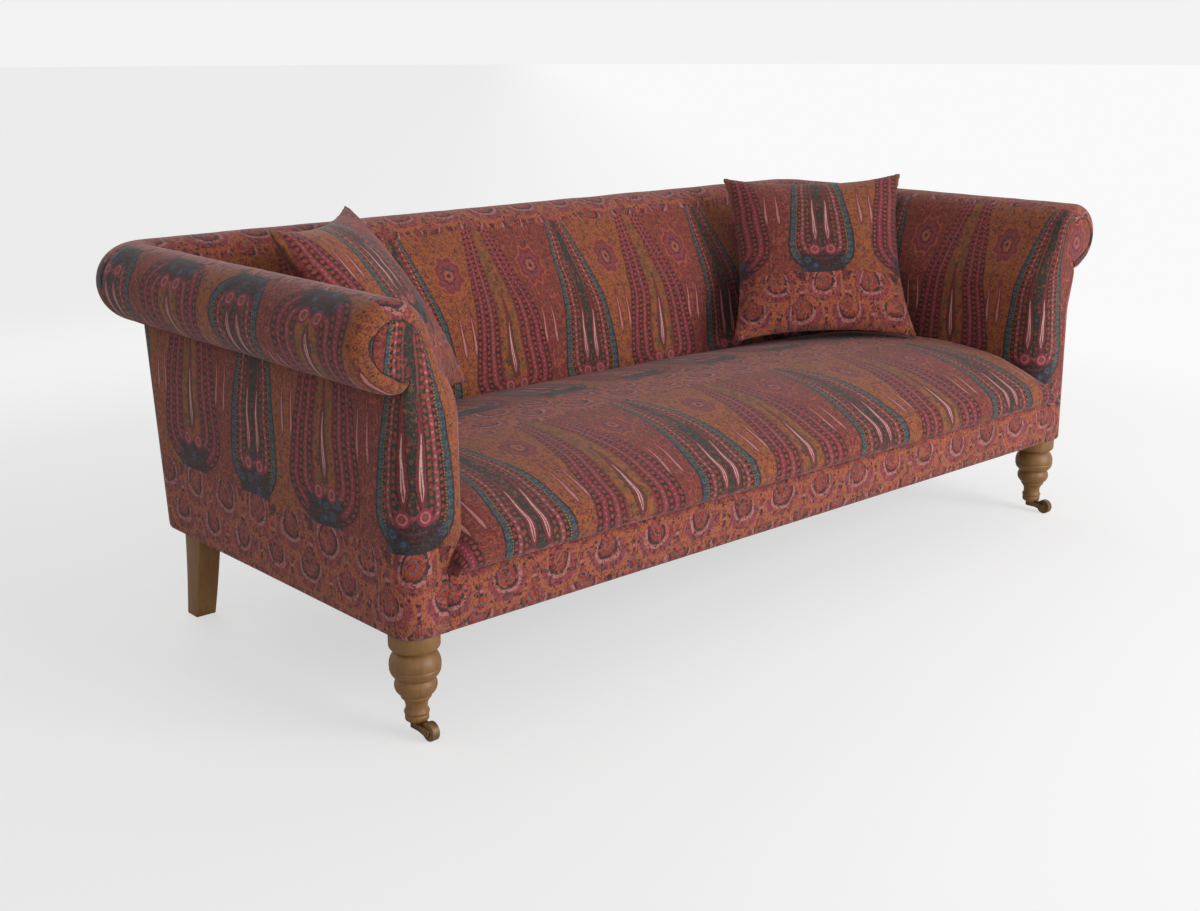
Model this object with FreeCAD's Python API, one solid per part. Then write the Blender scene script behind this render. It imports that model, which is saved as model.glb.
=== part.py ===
import FreeCAD, Part
import math
import os

# Roll arm sofa with a tight seat, turned front legs on castors and two loose cushions.
# Millimetres. X runs along the sofa, Y from front to back, Z up. The origin lies on the floor
# under the middle of the whole object. "Right" is +X, as seen from in front.

V = FreeCAD.Vector

# Overall form
seat_width = 1710.0  # clear length between the arms
arm_thickness = 145.0  # arm at its base
base_height = 190.0  # floor to the lower edge of the covers
arm_height = 770.0  # floor to the top of the rolls
border_height = 108.0  # front border, lower edge to the seat seam
border_seam = 61.0  # from the arm's inner face out to the seam of border and facing
seat_depth = 733.0  # front face to the inside back, at back_gauge above the floor
back_gauge = 400.0
back_roll_reach = 219.0  # that face to the centre of the back roll
back_thickness = 148.0  # that face to the outside back, at its lower edge
nose_overhang = 29.0  # how far the seat's nose stands in front of the border

# Rolls and faces
roll_radius = 77.0
arm_roll_inset = 2.0  # roll centre, in from the outer side at the base
arm_neck = 9.0  # outside arm panel's lean, base to roll
back_neck = 9.0  # top of the outside back, in front of the roll centre
arm_flare = 28.0  # degrees from upright, upper inside arm
back_flare = 35.0
back_rake = 10.0  # degrees from upright, lower inside back
arm_bend = 150.0  # radius between the upright and the flared face
back_bend = 200.0
facing_round = 32.0  # rounding of the arm's front edge
neck_share = 0.45  # how much of that rounding the neck under the roll takes
corner_round = 47.0  # outside back corners, seen from above
roll_corner = 55.0  # roll's centre line round the back corner, seen from above

# Layers
cover = 3.0  # cloth with its wadding
fit = 0.3  # gap between neighbouring soft layers
cloth = 1.5  # hessian and webbing
dust_cloth = 0.8

# Frame
rail_thickness = 30.0
rail_height = 80.0
rail_lift = 5.0  # frame's underside above the lower edge of the covers
back_rail_relief = 2.0  # how much thinner the back rail is
board = 25.0
wadding = 10.0  # wadding in front of the front rail
post_length = 75.0  # posts, along the sofa
post_depth = 45.0
post_side_gap = 20.0  # post to the outer side at the base
scroll_radius = 50.0
stuffing_rail_height = 45.0
stuffing_rail_gap = 25.0  # arm stuffing rail's underside above the side rail
back_stuffing_gap = 70.0
top_rail = 44.0
back_post_width = 70.0
back_post_depth = 40.0
back_post_gap = 8.0  # posts to the outside back
back_post_side = 40.0
upright_x = 300.0
upright_width = 40.0
upright_depth = 28.0
stretcher_height = 40.0
block_height = 60.0
block_reach = 70.0
block_trim = 12.0

# Springs
spring_count = 9
spring_spacing = 180.0
spring_wire = 1.9
spring_half_width = 24.0
spring_pitch = 30.0
spring_rise = 4.0  # wire centre above the rails
clip_size = (26.0, 14.0, 8.0)
strap_width = 50.0
strap_places = (90.0, 210.0, 420.0, 540.0, 660.0, 780.0)

# Seat
seat_side_height = 416.0  # top of the seat beside the arms, above the floor
seat_back_height = 368.0  # where it meets the inside back
seat_crown = 12.0
nose_radius = 34.0
nose_height = 32.0  # nose centre above the seat seam
nose_slope = 35.0  # degrees, where the nose turns into the top
seat_shoulder = 173.0  # front face to the highest part of the seat
seat_shoulder_drop = 2.0
ear_reach = 58.0  # how far a front corner of the seat runs out in front of the arm
ear_root = 6.0
ear_step = 0.6
ear_swell = 6.5  # how far an ear's outer end bulges in front of the border

# Legs
leg_side_inset = 50.0
leg_front_inset = 51.5
leg_bottom = 27.0
leg_bolt_radius = 4.0
leg_bolt_length = 90.0
leg_bolt_bury = 45.0
bolt_gap = 0.05
cut_over = 1.0  # how far a bore's cutter runs past what it cuts
leg_hole_gap = 1.0  # dust cover to the legs
rear_foot = (44.0, 40.0)
rear_top = (50.0, 62.0)
rear_leg_side = 22.0
rear_leg_splay = 17.0  # how far the foot stands behind the top
rear_leg_back = 57.0  # leg's top to the lower edge of the outside back
rear_bolt_spacing = 26.0
rear_bolt_side = 61.0

# Castors
wheel_radius = 17.0
wheel_width = 17.0
castor_trail = 40.0
castor_plate_radius = 16.0
castor_plate = 3.0
castor_pin = 4.0
castor_stem = 34.0
pin_head = 6.5
pin_head_depth = 2.0
castor_gap = 0.3
cheek = 3.0
cheek_gap = 0.6
cheek_hub = 8.0
boss_radius = 12.2
boss_height = 10.5
axle_radius = 2.5
axle_head = 4.5
axle_head_depth = 1.8
running_gap = 0.05
screw_radius = 1.8
screw_circle = 11.0
screw_length = 16.0

# Loose cushions
cushion_side = 480.0
cushion_thick = 160.0
cushion_hollow = 13.0  # how far each side is drawn in between its corners
cushion_cloth = 2.0
# Each cushion's pose: degrees turned out of its corner, leant back and tilted, then its middle's
# distance from the arm's inner face, from the inside back and above the side of the seat
cushion_right = (42.0, 34.0, 1.6, 158.0, 166.5, 200.0)
cushion_left = (39.5, 34.0, 0.5, 243.0, 93.0, 203.6)

# Places that follow from the sizes above
arm_in = seat_width / 2.0
half_width = arm_in + arm_thickness
roll_setback = seat_depth + back_roll_reach
overall_depth = nose_overhang + roll_setback + roll_radius
front = nose_overhang - overall_depth / 2.0
arm_roll_x = half_width - arm_roll_inset
roll_z = arm_height - roll_radius
back_roll_y = front + roll_setback
back_in = front + seat_depth
back_out = back_in + back_thickness
border_top = base_height + border_height
seam_x = arm_in + border_seam
frame_bottom = base_height + rail_lift
rail_top = frame_bottom + rail_height
rail_front = front + cover + wadding
arm_neck_x = half_width - arm_neck
back_neck_y = back_roll_y - back_neck
neck_z = roll_z - math.sqrt(roll_radius**2 - (arm_roll_x - arm_neck_x) ** 2)
sill = border_top + fit


def outside_back(z):
    # Y of the outside back at a height, on its raked line.
    lean = (back_neck_y - back_out) / (neck_z - base_height)
    return back_out + lean * (z - base_height)


def polar(radius, angle):
    return radius * math.cos(angle), radius * math.sin(angle)


class Outline:
    # A cross-section in (u, z), where u runs outwards from the roll's centre. Lines and arcs.
    def __init__(self, start):
        self.at = start
        self.parts = []

    def line(self, point):
        self.parts.append((self.at, None, point))
        self.at = point

    def arc(self, middle, point):
        self.parts.append((self.at, middle, point))
        self.at = point

    def wire(self, place):
        edges = []
        for start, middle, end in self.parts:
            if middle is None:
                edges.append(Part.LineSegment(place(start), place(end)).toShape())
            else:
                edges.append(Part.Arc(place(start), place(middle), place(end)).toShape())
        return Part.Wire(edges)


def padded_face(low, gauge, rake, flare, bend, neck, inset, neck_inset, foot):
    # Points of an inside face that runs up into its roll, inset by a layer's thickness:
    # straight lower face, bend, flared face, then the roll in three arcs down to the neck.
    lean = math.radians(rake)
    tilt = math.radians(flare)
    radius = roll_radius - inset
    on_face = (low + inset * math.cos(lean), gauge - inset * math.sin(lean))
    touch = (-radius * math.cos(tilt), roll_z + radius * math.sin(tilt))
    det = math.sin(lean) * math.cos(tilt) - math.cos(lean) * math.sin(tilt)
    du = touch[0] - on_face[0]
    dz = touch[1] - on_face[1]
    along = (du * math.cos(tilt) - dz * math.sin(tilt)) / det
    knee = (on_face[0] + along * math.sin(lean), on_face[1] + along * math.cos(lean))
    arc_radius = bend - inset
    reach = arc_radius * math.tan((tilt - lean) / 2.0)
    lower = (knee[0] - reach * math.sin(lean), knee[1] - reach * math.cos(lean))
    upper = (knee[0] + reach * math.sin(tilt), knee[1] + reach * math.cos(tilt))
    centre = (upper[0] + arc_radius * math.cos(tilt), upper[1] - arc_radius * math.sin(tilt))
    half = (tilt + lean) / 2.0
    middle = (centre[0] - arc_radius * math.cos(half), centre[1] + arc_radius * math.sin(half))
    neck_u = neck - neck_inset
    first = math.pi - tilt
    last = math.atan2(-math.sqrt(radius**2 - neck_u**2), neck_u)
    start = (on_face[0] - (on_face[1] - foot) * math.tan(lean), foot)
    steps = [("line", lower), ("arc", middle, upper), ("line", touch)]
    for third in range(3):
        angles = [first + (last - first) * (third + part) / 3.0 for part in (0.5, 1.0)]
        points = []
        for angle in angles:
            across, up = polar(radius, angle)
            points.append((across, roll_z + up))
        steps.append(("arc", points[0], points[1]))
    return start, steps


def follow(outline, steps):
    for step in steps:
        if step[0] == "line":
            outline.line(step[1])
        else:
            outline.arc(step[1], step[2])


def follow_back(outline, start, steps):
    # The same steps from the neck back to the foot.
    ends = [start] + [step[-1] for step in steps]
    for index in range(len(steps) - 1, -1, -1):
        if steps[index][0] == "line":
            outline.line(ends[index])
        else:
            outline.arc(steps[index][1], ends[index])


def arm_face(inset, foot, neck_inset=None):
    neck_inset = inset if neck_inset is None else neck_inset
    return padded_face(
        arm_in - arm_roll_x,
        back_gauge,
        0.0,
        arm_flare,
        arm_bend,
        arm_neck_x - arm_roll_x,
        inset,
        neck_inset,
        foot,
    )


def back_face(inset, foot):
    return padded_face(
        back_in - back_roll_y, back_gauge, back_rake, back_flare, back_bend, -back_neck, inset, inset, foot
    )


def arm_place(y):
    return lambda point: V(arm_roll_x + point[0], y, point[1])


def back_place(x):
    return lambda point: V(x, back_roll_y + point[0], point[1])


def skin_outline(face, outer, inner, foot):
    # Closed outline of a cover layer, from the foot over the roll to the neck and back.
    start, steps = face(outer, foot)
    outline = Outline(start)
    follow(outline, steps)
    start, steps = face(inner, foot)
    outline.line(steps[-1][-1])
    follow_back(outline, start, steps)
    outline.line(face(outer, foot)[0])
    return outline


def block(x0, x1, y0, y1, z0, z1):
    return Part.makeBox(x1 - x0, y1 - y0, z1 - z0, V(x0, y0, z0))


def extrude(wire, direction):
    return Part.Face(wire).extrude(direction)


def polygon(points):
    return Part.makePolygon(points + [points[0]])


def prism_x(points, x0, x1):
    return extrude(polygon([V(x0, y, z) for y, z in points]), V(x1 - x0, 0, 0))


def prism_z(points, z0, z1):
    return extrude(polygon([V(x, y, z0) for x, y in points]), V(0, 0, z1 - z0))


def cylinder(radius, length, place, axis):
    return Part.makeCylinder(radius, length, place, axis)


def mirrored(shape):
    return shape.mirror(V(0, 0, 0), V(1, 0, 0))


def cut_all(shape, tools):
    for tool in tools:
        shape = shape.cut(tool)
    return shape


def front_section(depth, inset):
    # Whole arm section at a distance behind the front face.
    start, steps = arm_face(inset, sill, inset * neck_share)
    outline = Outline(start)
    follow(outline, steps)
    outline.line((half_width - arm_roll_x - inset, base_height))
    outline.line((seam_x - arm_roll_x, base_height))
    outline.line((seam_x - arm_roll_x, sill))
    outline.line(start)
    return outline.wire(arm_place(front + depth))


def arm_end(layer):
    # The rounded front of an arm, inset all over by a layer.
    sections = []
    for step in range(5):
        turn = math.radians(22.5 * step)
        across, deep = polar(facing_round - layer, turn)
        sections.append(front_section(facing_round - across, facing_round - deep))
    return Part.makeLoft(sections, True, True)


# Frame, right-hand pieces first
post_out = half_width - post_side_gap
post_in = post_out - post_length
post_back = rail_front + post_depth
side_out = post_out
side_in = side_out - rail_thickness
back_post_out = half_width - back_post_side
back_post_in = back_post_out - back_post_width


def raked(depth_out, depth_in, z0, z1):
    # Side view of a raked piece, between two distances in front of the outside back.
    points = []
    for z, inset in ((z0, depth_out), (z1, depth_out), (z1, depth_in), (z0, depth_in)):
        points.append((outside_back(z) - inset, z))
    return points


def make_front_post():
    # Straight board that leans out into a scroll under the roll.
    bend = roll_z - scroll_radius
    across, up = polar(scroll_radius, math.radians(180.0 - arm_flare))
    points = [
        (post_in, frame_bottom),
        (post_out, frame_bottom),
        (post_out, bend),
        (arm_roll_x, roll_z),
        (arm_roll_x + across, roll_z + up),
        (post_in, bend),
    ]
    wire = polygon([V(x, rail_front, z) for x, z in points])
    disc = cylinder(scroll_radius, post_depth, V(arm_roll_x, rail_front, roll_z), V(0, 1, 0))
    return extrude(wire, V(0, post_depth, 0)).fuse(disc).removeSplitter()


def make_back_post():
    line = raked(back_post_gap, back_post_gap + back_post_depth, frame_bottom, roll_z - top_rail / 2.0)
    return prism_x(line, back_post_in, back_post_out)


front_post = make_front_post()
back_post = make_back_post()
back_rail_back = outside_back(frame_bottom) - cover - wadding
back_rail_front = back_rail_back - (rail_thickness - back_rail_relief)
front_rail = block(-post_in, post_in, rail_front, rail_front + rail_thickness, frame_bottom, rail_top)
back_rail = block(
    -back_post_in, back_post_in, back_rail_front, back_rail_back, frame_bottom, rail_top
)
side_rail = block(side_in, side_out, post_back, back_rail_back, frame_bottom, rail_top)
side_rail = side_rail.cut(back_post)

arm_rail_low = rail_top + stuffing_rail_gap
arm_rail_high = arm_rail_low + stuffing_rail_height
arm_rail_out = post_in + board
arm_stuffing_rail = block(post_in, arm_rail_out, post_back, back_out, arm_rail_low, arm_rail_high).cut(back_post)
top_low = roll_z - top_rail / 2.0
top_high = roll_z + top_rail / 2.0
back_top_front = back_roll_y - top_rail / 2.0
arm_top_rail = block(
    arm_roll_x - top_rail / 2.0, arm_roll_x + top_rail / 2.0, post_back, back_top_front, top_low, top_high
)
top_end = arm_roll_x + top_rail / 2.0
back_top_rail = block(-top_end, top_end, back_top_front, back_top_front + top_rail, top_low, top_high)
upright_line = raked(back_post_gap, back_post_gap + upright_depth, rail_top, top_low)
uprights = [
    prism_x(upright_line, x - upright_width / 2.0, x + upright_width / 2.0) for x in (-upright_x, upright_x)
]
back_rail_low = rail_top + back_stuffing_gap
back_rail_high = back_rail_low + stuffing_rail_height
back_rail_y = outside_back(back_rail_low) - back_post_gap - back_post_depth
web_low = (back_rail_y - fit - cloth, back_rail_low)
web_high = (back_top_front - fit - cloth, top_high)
web_slope = (web_high[0] - web_low[0]) / (web_high[1] - web_low[1])


def web_y(z):
    return web_low[0] + web_slope * (z - web_low[1])


def make_back_stuffing_rail():
    # Leans with the webbing that is nailed to its front.
    low = web_y(back_rail_low) + cloth + fit
    high = web_y(back_rail_high) + cloth + fit
    points = [
        (low, back_rail_low),
        (high, back_rail_high),
        (high + board, back_rail_high),
        (low + board, back_rail_low),
    ]
    return cut_all(prism_x(points, -back_post_in, back_post_in), uprights)


back_stuffing_rail = make_back_stuffing_rail()
rail_back = rail_front + rail_thickness
stretchers = []
for x in (-upright_x, upright_x):
    stretchers.append(
        block(
            x - rail_thickness / 2.0,
            x + rail_thickness / 2.0,
            rail_back,
            back_rail_front,
            frame_bottom,
            frame_bottom + stretcher_height,
        )
    )


def make_corner_blocks():
    near = prism_z(
        [
            (post_in - block_reach, rail_back),
            (post_in, rail_back),
            (post_in, post_back),
            (side_in, post_back),
            (side_in, post_back + block_reach),
        ],
        frame_bottom,
        frame_bottom + block_height,
    )
    far = prism_z(
        [
            (side_in, back_rail_front - block_reach - block_trim),
            (side_in, back_rail_front),
            (back_post_in - block_reach, back_rail_front),
        ],
        frame_bottom,
        frame_bottom + block_height,
    ).cut(back_post)
    return [near, far, mirrored(near), mirrored(far)]


corner_blocks = make_corner_blocks()


# Seat springs: one zigzag wire each, front to back
def make_spring(x):
    z = rail_top + spring_rise
    y = rail_front + rail_thickness / 2.0
    end = back_rail_front + rail_thickness / 2.0
    runs = int((end - y) / spring_pitch)
    start_y = y + (end - y - runs * spring_pitch) / 2.0
    edges = []
    side = -1.0
    for run in range(runs + 1):
        here = start_y + run * spring_pitch
        a = V(x + side * spring_half_width, here, z)
        b = V(x - side * spring_half_width, here, z)
        edges.append(Part.LineSegment(a, b).toShape())
        if run < runs:
            c = V(b.x, here + spring_pitch, z)
            bulge = V(b.x - side * spring_pitch / 2.0, here + spring_pitch / 2.0, z)
            edges.append(Part.Arc(b, bulge, c).toShape())
        side = -side
    path = Part.Wire(edges)
    start = edges[0].valueAt(edges[0].FirstParameter)
    ring = Part.Wire(Part.makeCircle(spring_wire, start, V(1, 0, 0)))
    return path.makePipeShell([ring], True, False), start_y, start_y + runs * spring_pitch


springs = []
clips = []
for number in range(spring_count):
    x = (number - (spring_count - 1) / 2.0) * spring_spacing
    spring, first_y, last_y = make_spring(x)
    springs.append(spring)
    for y in (first_y, last_y):
        length, width, height = clip_size
        clip = block(
            x - length / 2.0,
            x + length / 2.0,
            y - width / 2.0,
            y + width / 2.0,
            rail_top,
            rail_top + height,
        )
        slot = spring_wire + running_gap
        groove = block(x - length, x + length, y - slot, y + slot, rail_top, rail_top + spring_rise + slot)
        clips.append(clip.cut(groove))

# Hessian over the springs, with the clips standing through it at both ends
hessian_z = rail_top + max(spring_rise + spring_wire, clip_size[2]) + fit
hessian_back = back_rail_front + rail_thickness / 2.0
hessian = block(board - arm_in, arm_in - board, rail_front, hessian_back, hessian_z, hessian_z + cloth)
foam_bottom = hessian_z + cloth + fit


def seat_outline(x, layer, crown, low):
    # Side view of the seat: seam, nose, front slope, top, then down the inside back.
    nose_y = front - nose_overhang + nose_radius
    nose_z = border_top + nose_height
    radius = nose_radius - layer
    lift = math.sqrt(nose_radius**2 - nose_height**2)
    slope = math.radians(nose_slope)
    seam = (nose_y - lift + layer, sill)
    turn = (nose_y - radius * math.sin(slope), nose_z + radius * math.cos(slope))
    shoulder = (front + seat_shoulder, seat_side_height + crown - layer)
    rise = (shoulder[0] - turn[0], shoulder[1] - turn[1])
    brow = (turn[0] + rise[0] * 0.47, turn[1] + rise[1] * 0.47 + 13.0)
    tail_y = back_in - (back_gauge - seat_back_height) * math.tan(math.radians(back_rake)) - fit - layer
    tail = (tail_y, seat_back_height - layer + crown * 0.2)
    ridge = ((shoulder[0] + tail[0]) / 2.0, seat_side_height + crown * 0.8 - seat_shoulder_drop - layer)
    drop = (tail[1] - low) * math.tan(math.radians(back_rake))
    edges = [
        Part.LineSegment(V(x, rail_front + fit, low), V(x, rail_front + fit, sill)).toShape(),
        Part.LineSegment(V(x, rail_front + fit, sill), V(x, *seam)).toShape(),
        Part.Arc(V(x, *seam), V(x, nose_y - radius, nose_z), V(x, *turn)).toShape(),
        Part.Arc(V(x, *turn), V(x, *brow), V(x, *shoulder)).toShape(),
        Part.Arc(V(x, *shoulder), V(x, *ridge), V(x, *tail)).toShape(),
        Part.LineSegment(V(x, *tail), V(x, tail[0] - drop, low)).toShape(),
        Part.LineSegment(V(x, tail[0] - drop, low), V(x, rail_front + fit, low)).toShape(),
    ]
    return Part.Wire(edges)


def make_seat(layer):
    half = arm_in - fit - layer
    sections = []
    for share, crown in ((-1.0, 0.0), (-0.7, 0.55), (0.0, 1.0), (0.7, 0.55), (1.0, 0.0)):
        sections.append(seat_outline(share * half, layer, crown * seat_crown, foam_bottom))
    return Part.makeLoft(sections, True, False)


def ear_section(x, layer, swell, lift):
    # Side view of a seat corner in front of the arm. It shrinks towards the border's end.
    def point(ahead, height):
        return V(x, front - ahead * swell + layer, sill + (height - layer) * lift)

    back = front + facing_round
    low = sill + ear_step
    foot = V(x, front - ear_swell * swell + layer, low)
    nose = point(nose_overhang, nose_height)
    turn = point(nose_overhang / 2.0, 1.87 * nose_height)
    top = V(x, back, sill + (2.62 * nose_height - layer) * lift)
    edges = [
        Part.LineSegment(V(x, back, low), foot).toShape(),
        Part.Arc(foot, nose, turn).toShape(),
        Part.LineSegment(turn, top).toShape(),
        Part.LineSegment(top, V(x, back, low)).toShape(),
    ]
    return Part.Wire(edges)


def make_ear(layer):
    # The seat's front corner, right-hand side. It begins a little inside the seat.
    start = arm_in - fit - layer - ear_root
    reach = ear_reach + ear_root - layer
    sections = []
    for share in (0.0, 0.35, 0.65, 0.87, 0.985):
        fall = math.sqrt(1.0 - share**2)
        sections.append(ear_section(start + share * reach, layer + ear_step, fall, fall))
    return Part.makeLoft(sections, True, False).cut(arm_end(-fit - layer))


def seat_layer(layer):
    ear = make_ear(layer)
    return make_seat(layer).fuse([ear, mirrored(ear)])



# Back: webbing, padding and the two covers
corner_x = arm_roll_x - roll_corner
corner_y = back_roll_y - roll_corner
def make_straps():
    straps = []
    points = [web_low, (web_low[0] + cloth, web_low[1]), (web_high[0] + cloth, web_high[1]), web_high]
    for side in (-1.0, 1.0):
        for place in strap_places:
            x = side * place
            straps.append(prism_x(points, x - strap_width / 2.0, x + strap_width / 2.0))
    return straps


straps = make_straps()


def ring_sector(outer, inner):
    # Roll layer round a back corner: the part of the ring outside the turning axis.
    first = math.atan2(-math.sqrt(outer**2 - back_neck**2), -back_neck)
    last = math.acos(-(roll_corner - 0.5) / outer)
    outline = Outline(tuple_at(outer, first))
    for part in (1, 2):
        a = first + (last - first) * (part - 0.5) / 2.0
        b = first + (last - first) * part / 2.0
        outline.arc(tuple_at(outer, a), tuple_at(outer, b))
    if inner > 0.0:
        outline.line(tuple_at(inner, last))
        for part in (1, 0):
            a = first + (last - first) * (part + 0.5) / 2.0
            b = first + (last - first) * part / 2.0
            outline.arc(tuple_at(inner, a), tuple_at(inner, b))
    else:
        outline.line((-(roll_corner - 0.5), tuple_at(outer, first)[1]))
    outline.line(tuple_at(outer, first))
    return outline


def tuple_at(radius, angle):
    across, up = polar(radius, angle)
    return across, roll_z + up


def corner_roll(outer, inner):
    face = Part.Face(ring_sector(outer, inner).wire(lambda p: V(corner_x, back_roll_y + p[0], p[1])))
    return face.revolve(V(corner_x, corner_y, 0), V(0, 0, 1), -90.0)


def make_back_envelope():
    start, steps = back_face(-fit, base_height)
    outline = Outline(start)
    follow(outline, steps)
    outline.line((back_out + fit - back_roll_y, base_height))
    outline.line(start)
    return extrude(outline.wire(back_place(-corner_x)), V(2.0 * corner_x, 0, 0))


back_envelope = make_back_envelope()


def make_back_padding():
    layer = cover + fit
    start, steps = back_face(layer, sill)
    outline = Outline(start)
    follow(outline, steps)
    neck = steps[-1][-1]
    outline.line((web_y(neck[1]) - fit - back_roll_y, neck[1]))
    outline.line((web_low[0] - fit - back_roll_y, web_low[1]))
    outline.line((web_low[0] - fit - back_roll_y, sill))
    outline.line(start)
    body = extrude(outline.wire(back_place(-corner_x)), V(2.0 * corner_x, 0, 0))
    roll = corner_roll(roll_radius - layer, 0.0)
    body = body.fuse([roll, mirrored(roll)])
    tools = [back_top_rail, back_stuffing_rail]
    tools += [arm_top_rail, mirrored(arm_top_rail), back_post, mirrored(back_post)]
    tools += [arm_stuffing_rail, mirrored(arm_stuffing_rail)] + uprights + straps
    return cut_all(body, tools)


def make_inside_back():
    section = skin_outline(back_face, 0.0, cover, sill).wire(back_place(-corner_x))
    skin = extrude(section, V(2.0 * corner_x, 0, 0))
    roll = corner_roll(roll_radius, roll_radius - cover)
    skin = skin.fuse([roll, mirrored(roll)])
    tools = [arm_stuffing_rail, arm_top_rail]
    return cut_all(skin, tools + [mirrored(tool) for tool in tools])


def corner_wire(centre, z):
    # Quarter ring of an outside back corner, seen from above.
    inner = corner_round - cover
    diagonal = math.sqrt(0.5)
    arc_out = [V(centre[0] + corner_round, centre[1], z), V(centre[0], centre[1] + corner_round, z)]
    middle_out = V(centre[0] + corner_round * diagonal, centre[1] + corner_round * diagonal, z)
    arc_in = [V(centre[0], centre[1] + inner, z), V(centre[0] + inner, centre[1], z)]
    middle_in = V(centre[0] + inner * diagonal, centre[1] + inner * diagonal, z)
    return Part.Wire(
        [
            Part.Arc(arc_out[0], middle_out, arc_out[1]).toShape(),
            Part.LineSegment(arc_out[1], arc_in[0]).toShape(),
            Part.Arc(arc_in[0], middle_in, arc_in[1]).toShape(),
            Part.LineSegment(arc_in[1], arc_out[0]).toShape(),
        ]
    )


low_corner = (half_width - corner_round, back_out - corner_round)
high_corner = (arm_neck_x - corner_round, back_neck_y - corner_round)


def sheet_between(low, high):
    # Thin upright sheet between two straight lines, one at the base and one at the neck.
    wires = []
    for points, z in ((low, base_height), (high, neck_z)):
        wires.append(polygon([V(x, y, z) for x, y in points]))
    return Part.makeLoft(wires, True, True)


def make_outside_back():
    low = [
        (-low_corner[0], back_out),
        (low_corner[0], back_out),
        (low_corner[0], back_out - cover),
        (-low_corner[0], back_out - cover),
    ]
    high = [
        (-high_corner[0], back_neck_y),
        (high_corner[0], back_neck_y),
        (high_corner[0], back_neck_y - cover),
        (-high_corner[0], back_neck_y - cover),
    ]
    panel = sheet_between(low, high)
    wires = [corner_wire(low_corner, base_height), corner_wire(high_corner, neck_z)]
    corner = Part.makeLoft(wires, True, True)
    return panel.fuse([corner, mirrored(corner)]).removeSplitter()


# Arms, right-hand pieces first
web_foot = (arm_rail_out + fit, arm_rail_low)
web_head = (arm_roll_x - top_rail / 2.0 - fit - cloth, roll_z)
arm_front = front + facing_round


def arm_web_x(z):
    return web_foot[0] + (web_head[0] - web_foot[0]) * (z - web_foot[1]) / (web_head[1] - web_foot[1])


def make_arm_webbing():
    points = [web_foot, (web_foot[0] + cloth, web_foot[1]), (web_head[0] + cloth, web_head[1]), web_head]
    wire = polygon([V(x, post_back + fit, z) for x, z in points])
    return cut_all(extrude(wire, V(0, corner_y - post_back - 2.0 * fit, 0)), [back_envelope, back_post])


arm_webbing = make_arm_webbing()


def make_arm_padding():
    layer = cover + fit
    start, steps = arm_face(layer, sill)
    outline = Outline(start)
    follow(outline, steps)
    neck = steps[-1][-1]
    outline.line((arm_web_x(neck[1]) - fit - arm_roll_x, neck[1]))
    outline.line((arm_web_x(arm_rail_high) - fit - arm_roll_x, arm_rail_high))
    outline.line((post_in - arm_roll_x, arm_rail_high))
    outline.line((post_in - arm_roll_x, sill))
    outline.line(start)
    body = extrude(outline.wire(arm_place(arm_front)), V(0, corner_y - arm_front, 0))
    tools = [front_post, back_post, arm_top_rail, arm_webbing, back_envelope]
    return cut_all(body, tools)


def make_front_padding():
    # Filling behind the facing, round the front post.
    underside = block(0, half_width, front, back_in, 0, frame_bottom + fit)
    return cut_all(arm_end(cover + fit), [front_post, underside])


def make_inside_arm():
    wire = skin_outline(arm_face, 0.0, cover, sill).wire(arm_place(arm_front))
    return extrude(wire, V(0, corner_y - arm_front, 0)).cut(back_envelope)


def make_outside_arm():
    low = [
        (half_width, arm_front),
        (half_width, low_corner[1]),
        (half_width - cover, low_corner[1]),
        (half_width - cover, arm_front),
    ]
    high = [
        (arm_neck_x, arm_front),
        (arm_neck_x, high_corner[1]),
        (arm_neck_x - cover, high_corner[1]),
        (arm_neck_x - cover, arm_front),
    ]
    return sheet_between(low, high)


def make_facing():
    shell = arm_end(0.0).cut(arm_end(cover))
    return shell


# Border and dust cover
def make_border():
    top_in = rail_front - fit
    points = [
        (front, base_height),
        (front, border_top),
        (top_in, border_top),
        (top_in, border_top - cover),
        (front + cover, border_top - cover),
        (front + cover, base_height),
    ]
    return prism_x(points, -seam_x + fit, seam_x - fit)


def make_border_wadding():
    return block(
        -post_in, post_in, front + cover + fit, rail_front, frame_bottom, border_top - cover - fit
    )


seat_cover = seat_layer(0.0).cut(seat_layer(cover))
seat_foam = seat_layer(cover + fit)
leg_x = half_width - leg_side_inset
leg_y = front + leg_front_inset
rear_x = half_width - rear_leg_side - rear_top[0] / 2.0
rear_y = back_out - rear_leg_back - rear_top[1] / 2.0

# Turned front leg, from the collar up: radius and height above the leg's bottom
leg_collar = 21.0
leg_waist = 19.4
leg_ring = 26.5
leg_bead = 37.5
leg_ball = 45.0
leg_neck = 33.0


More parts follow.
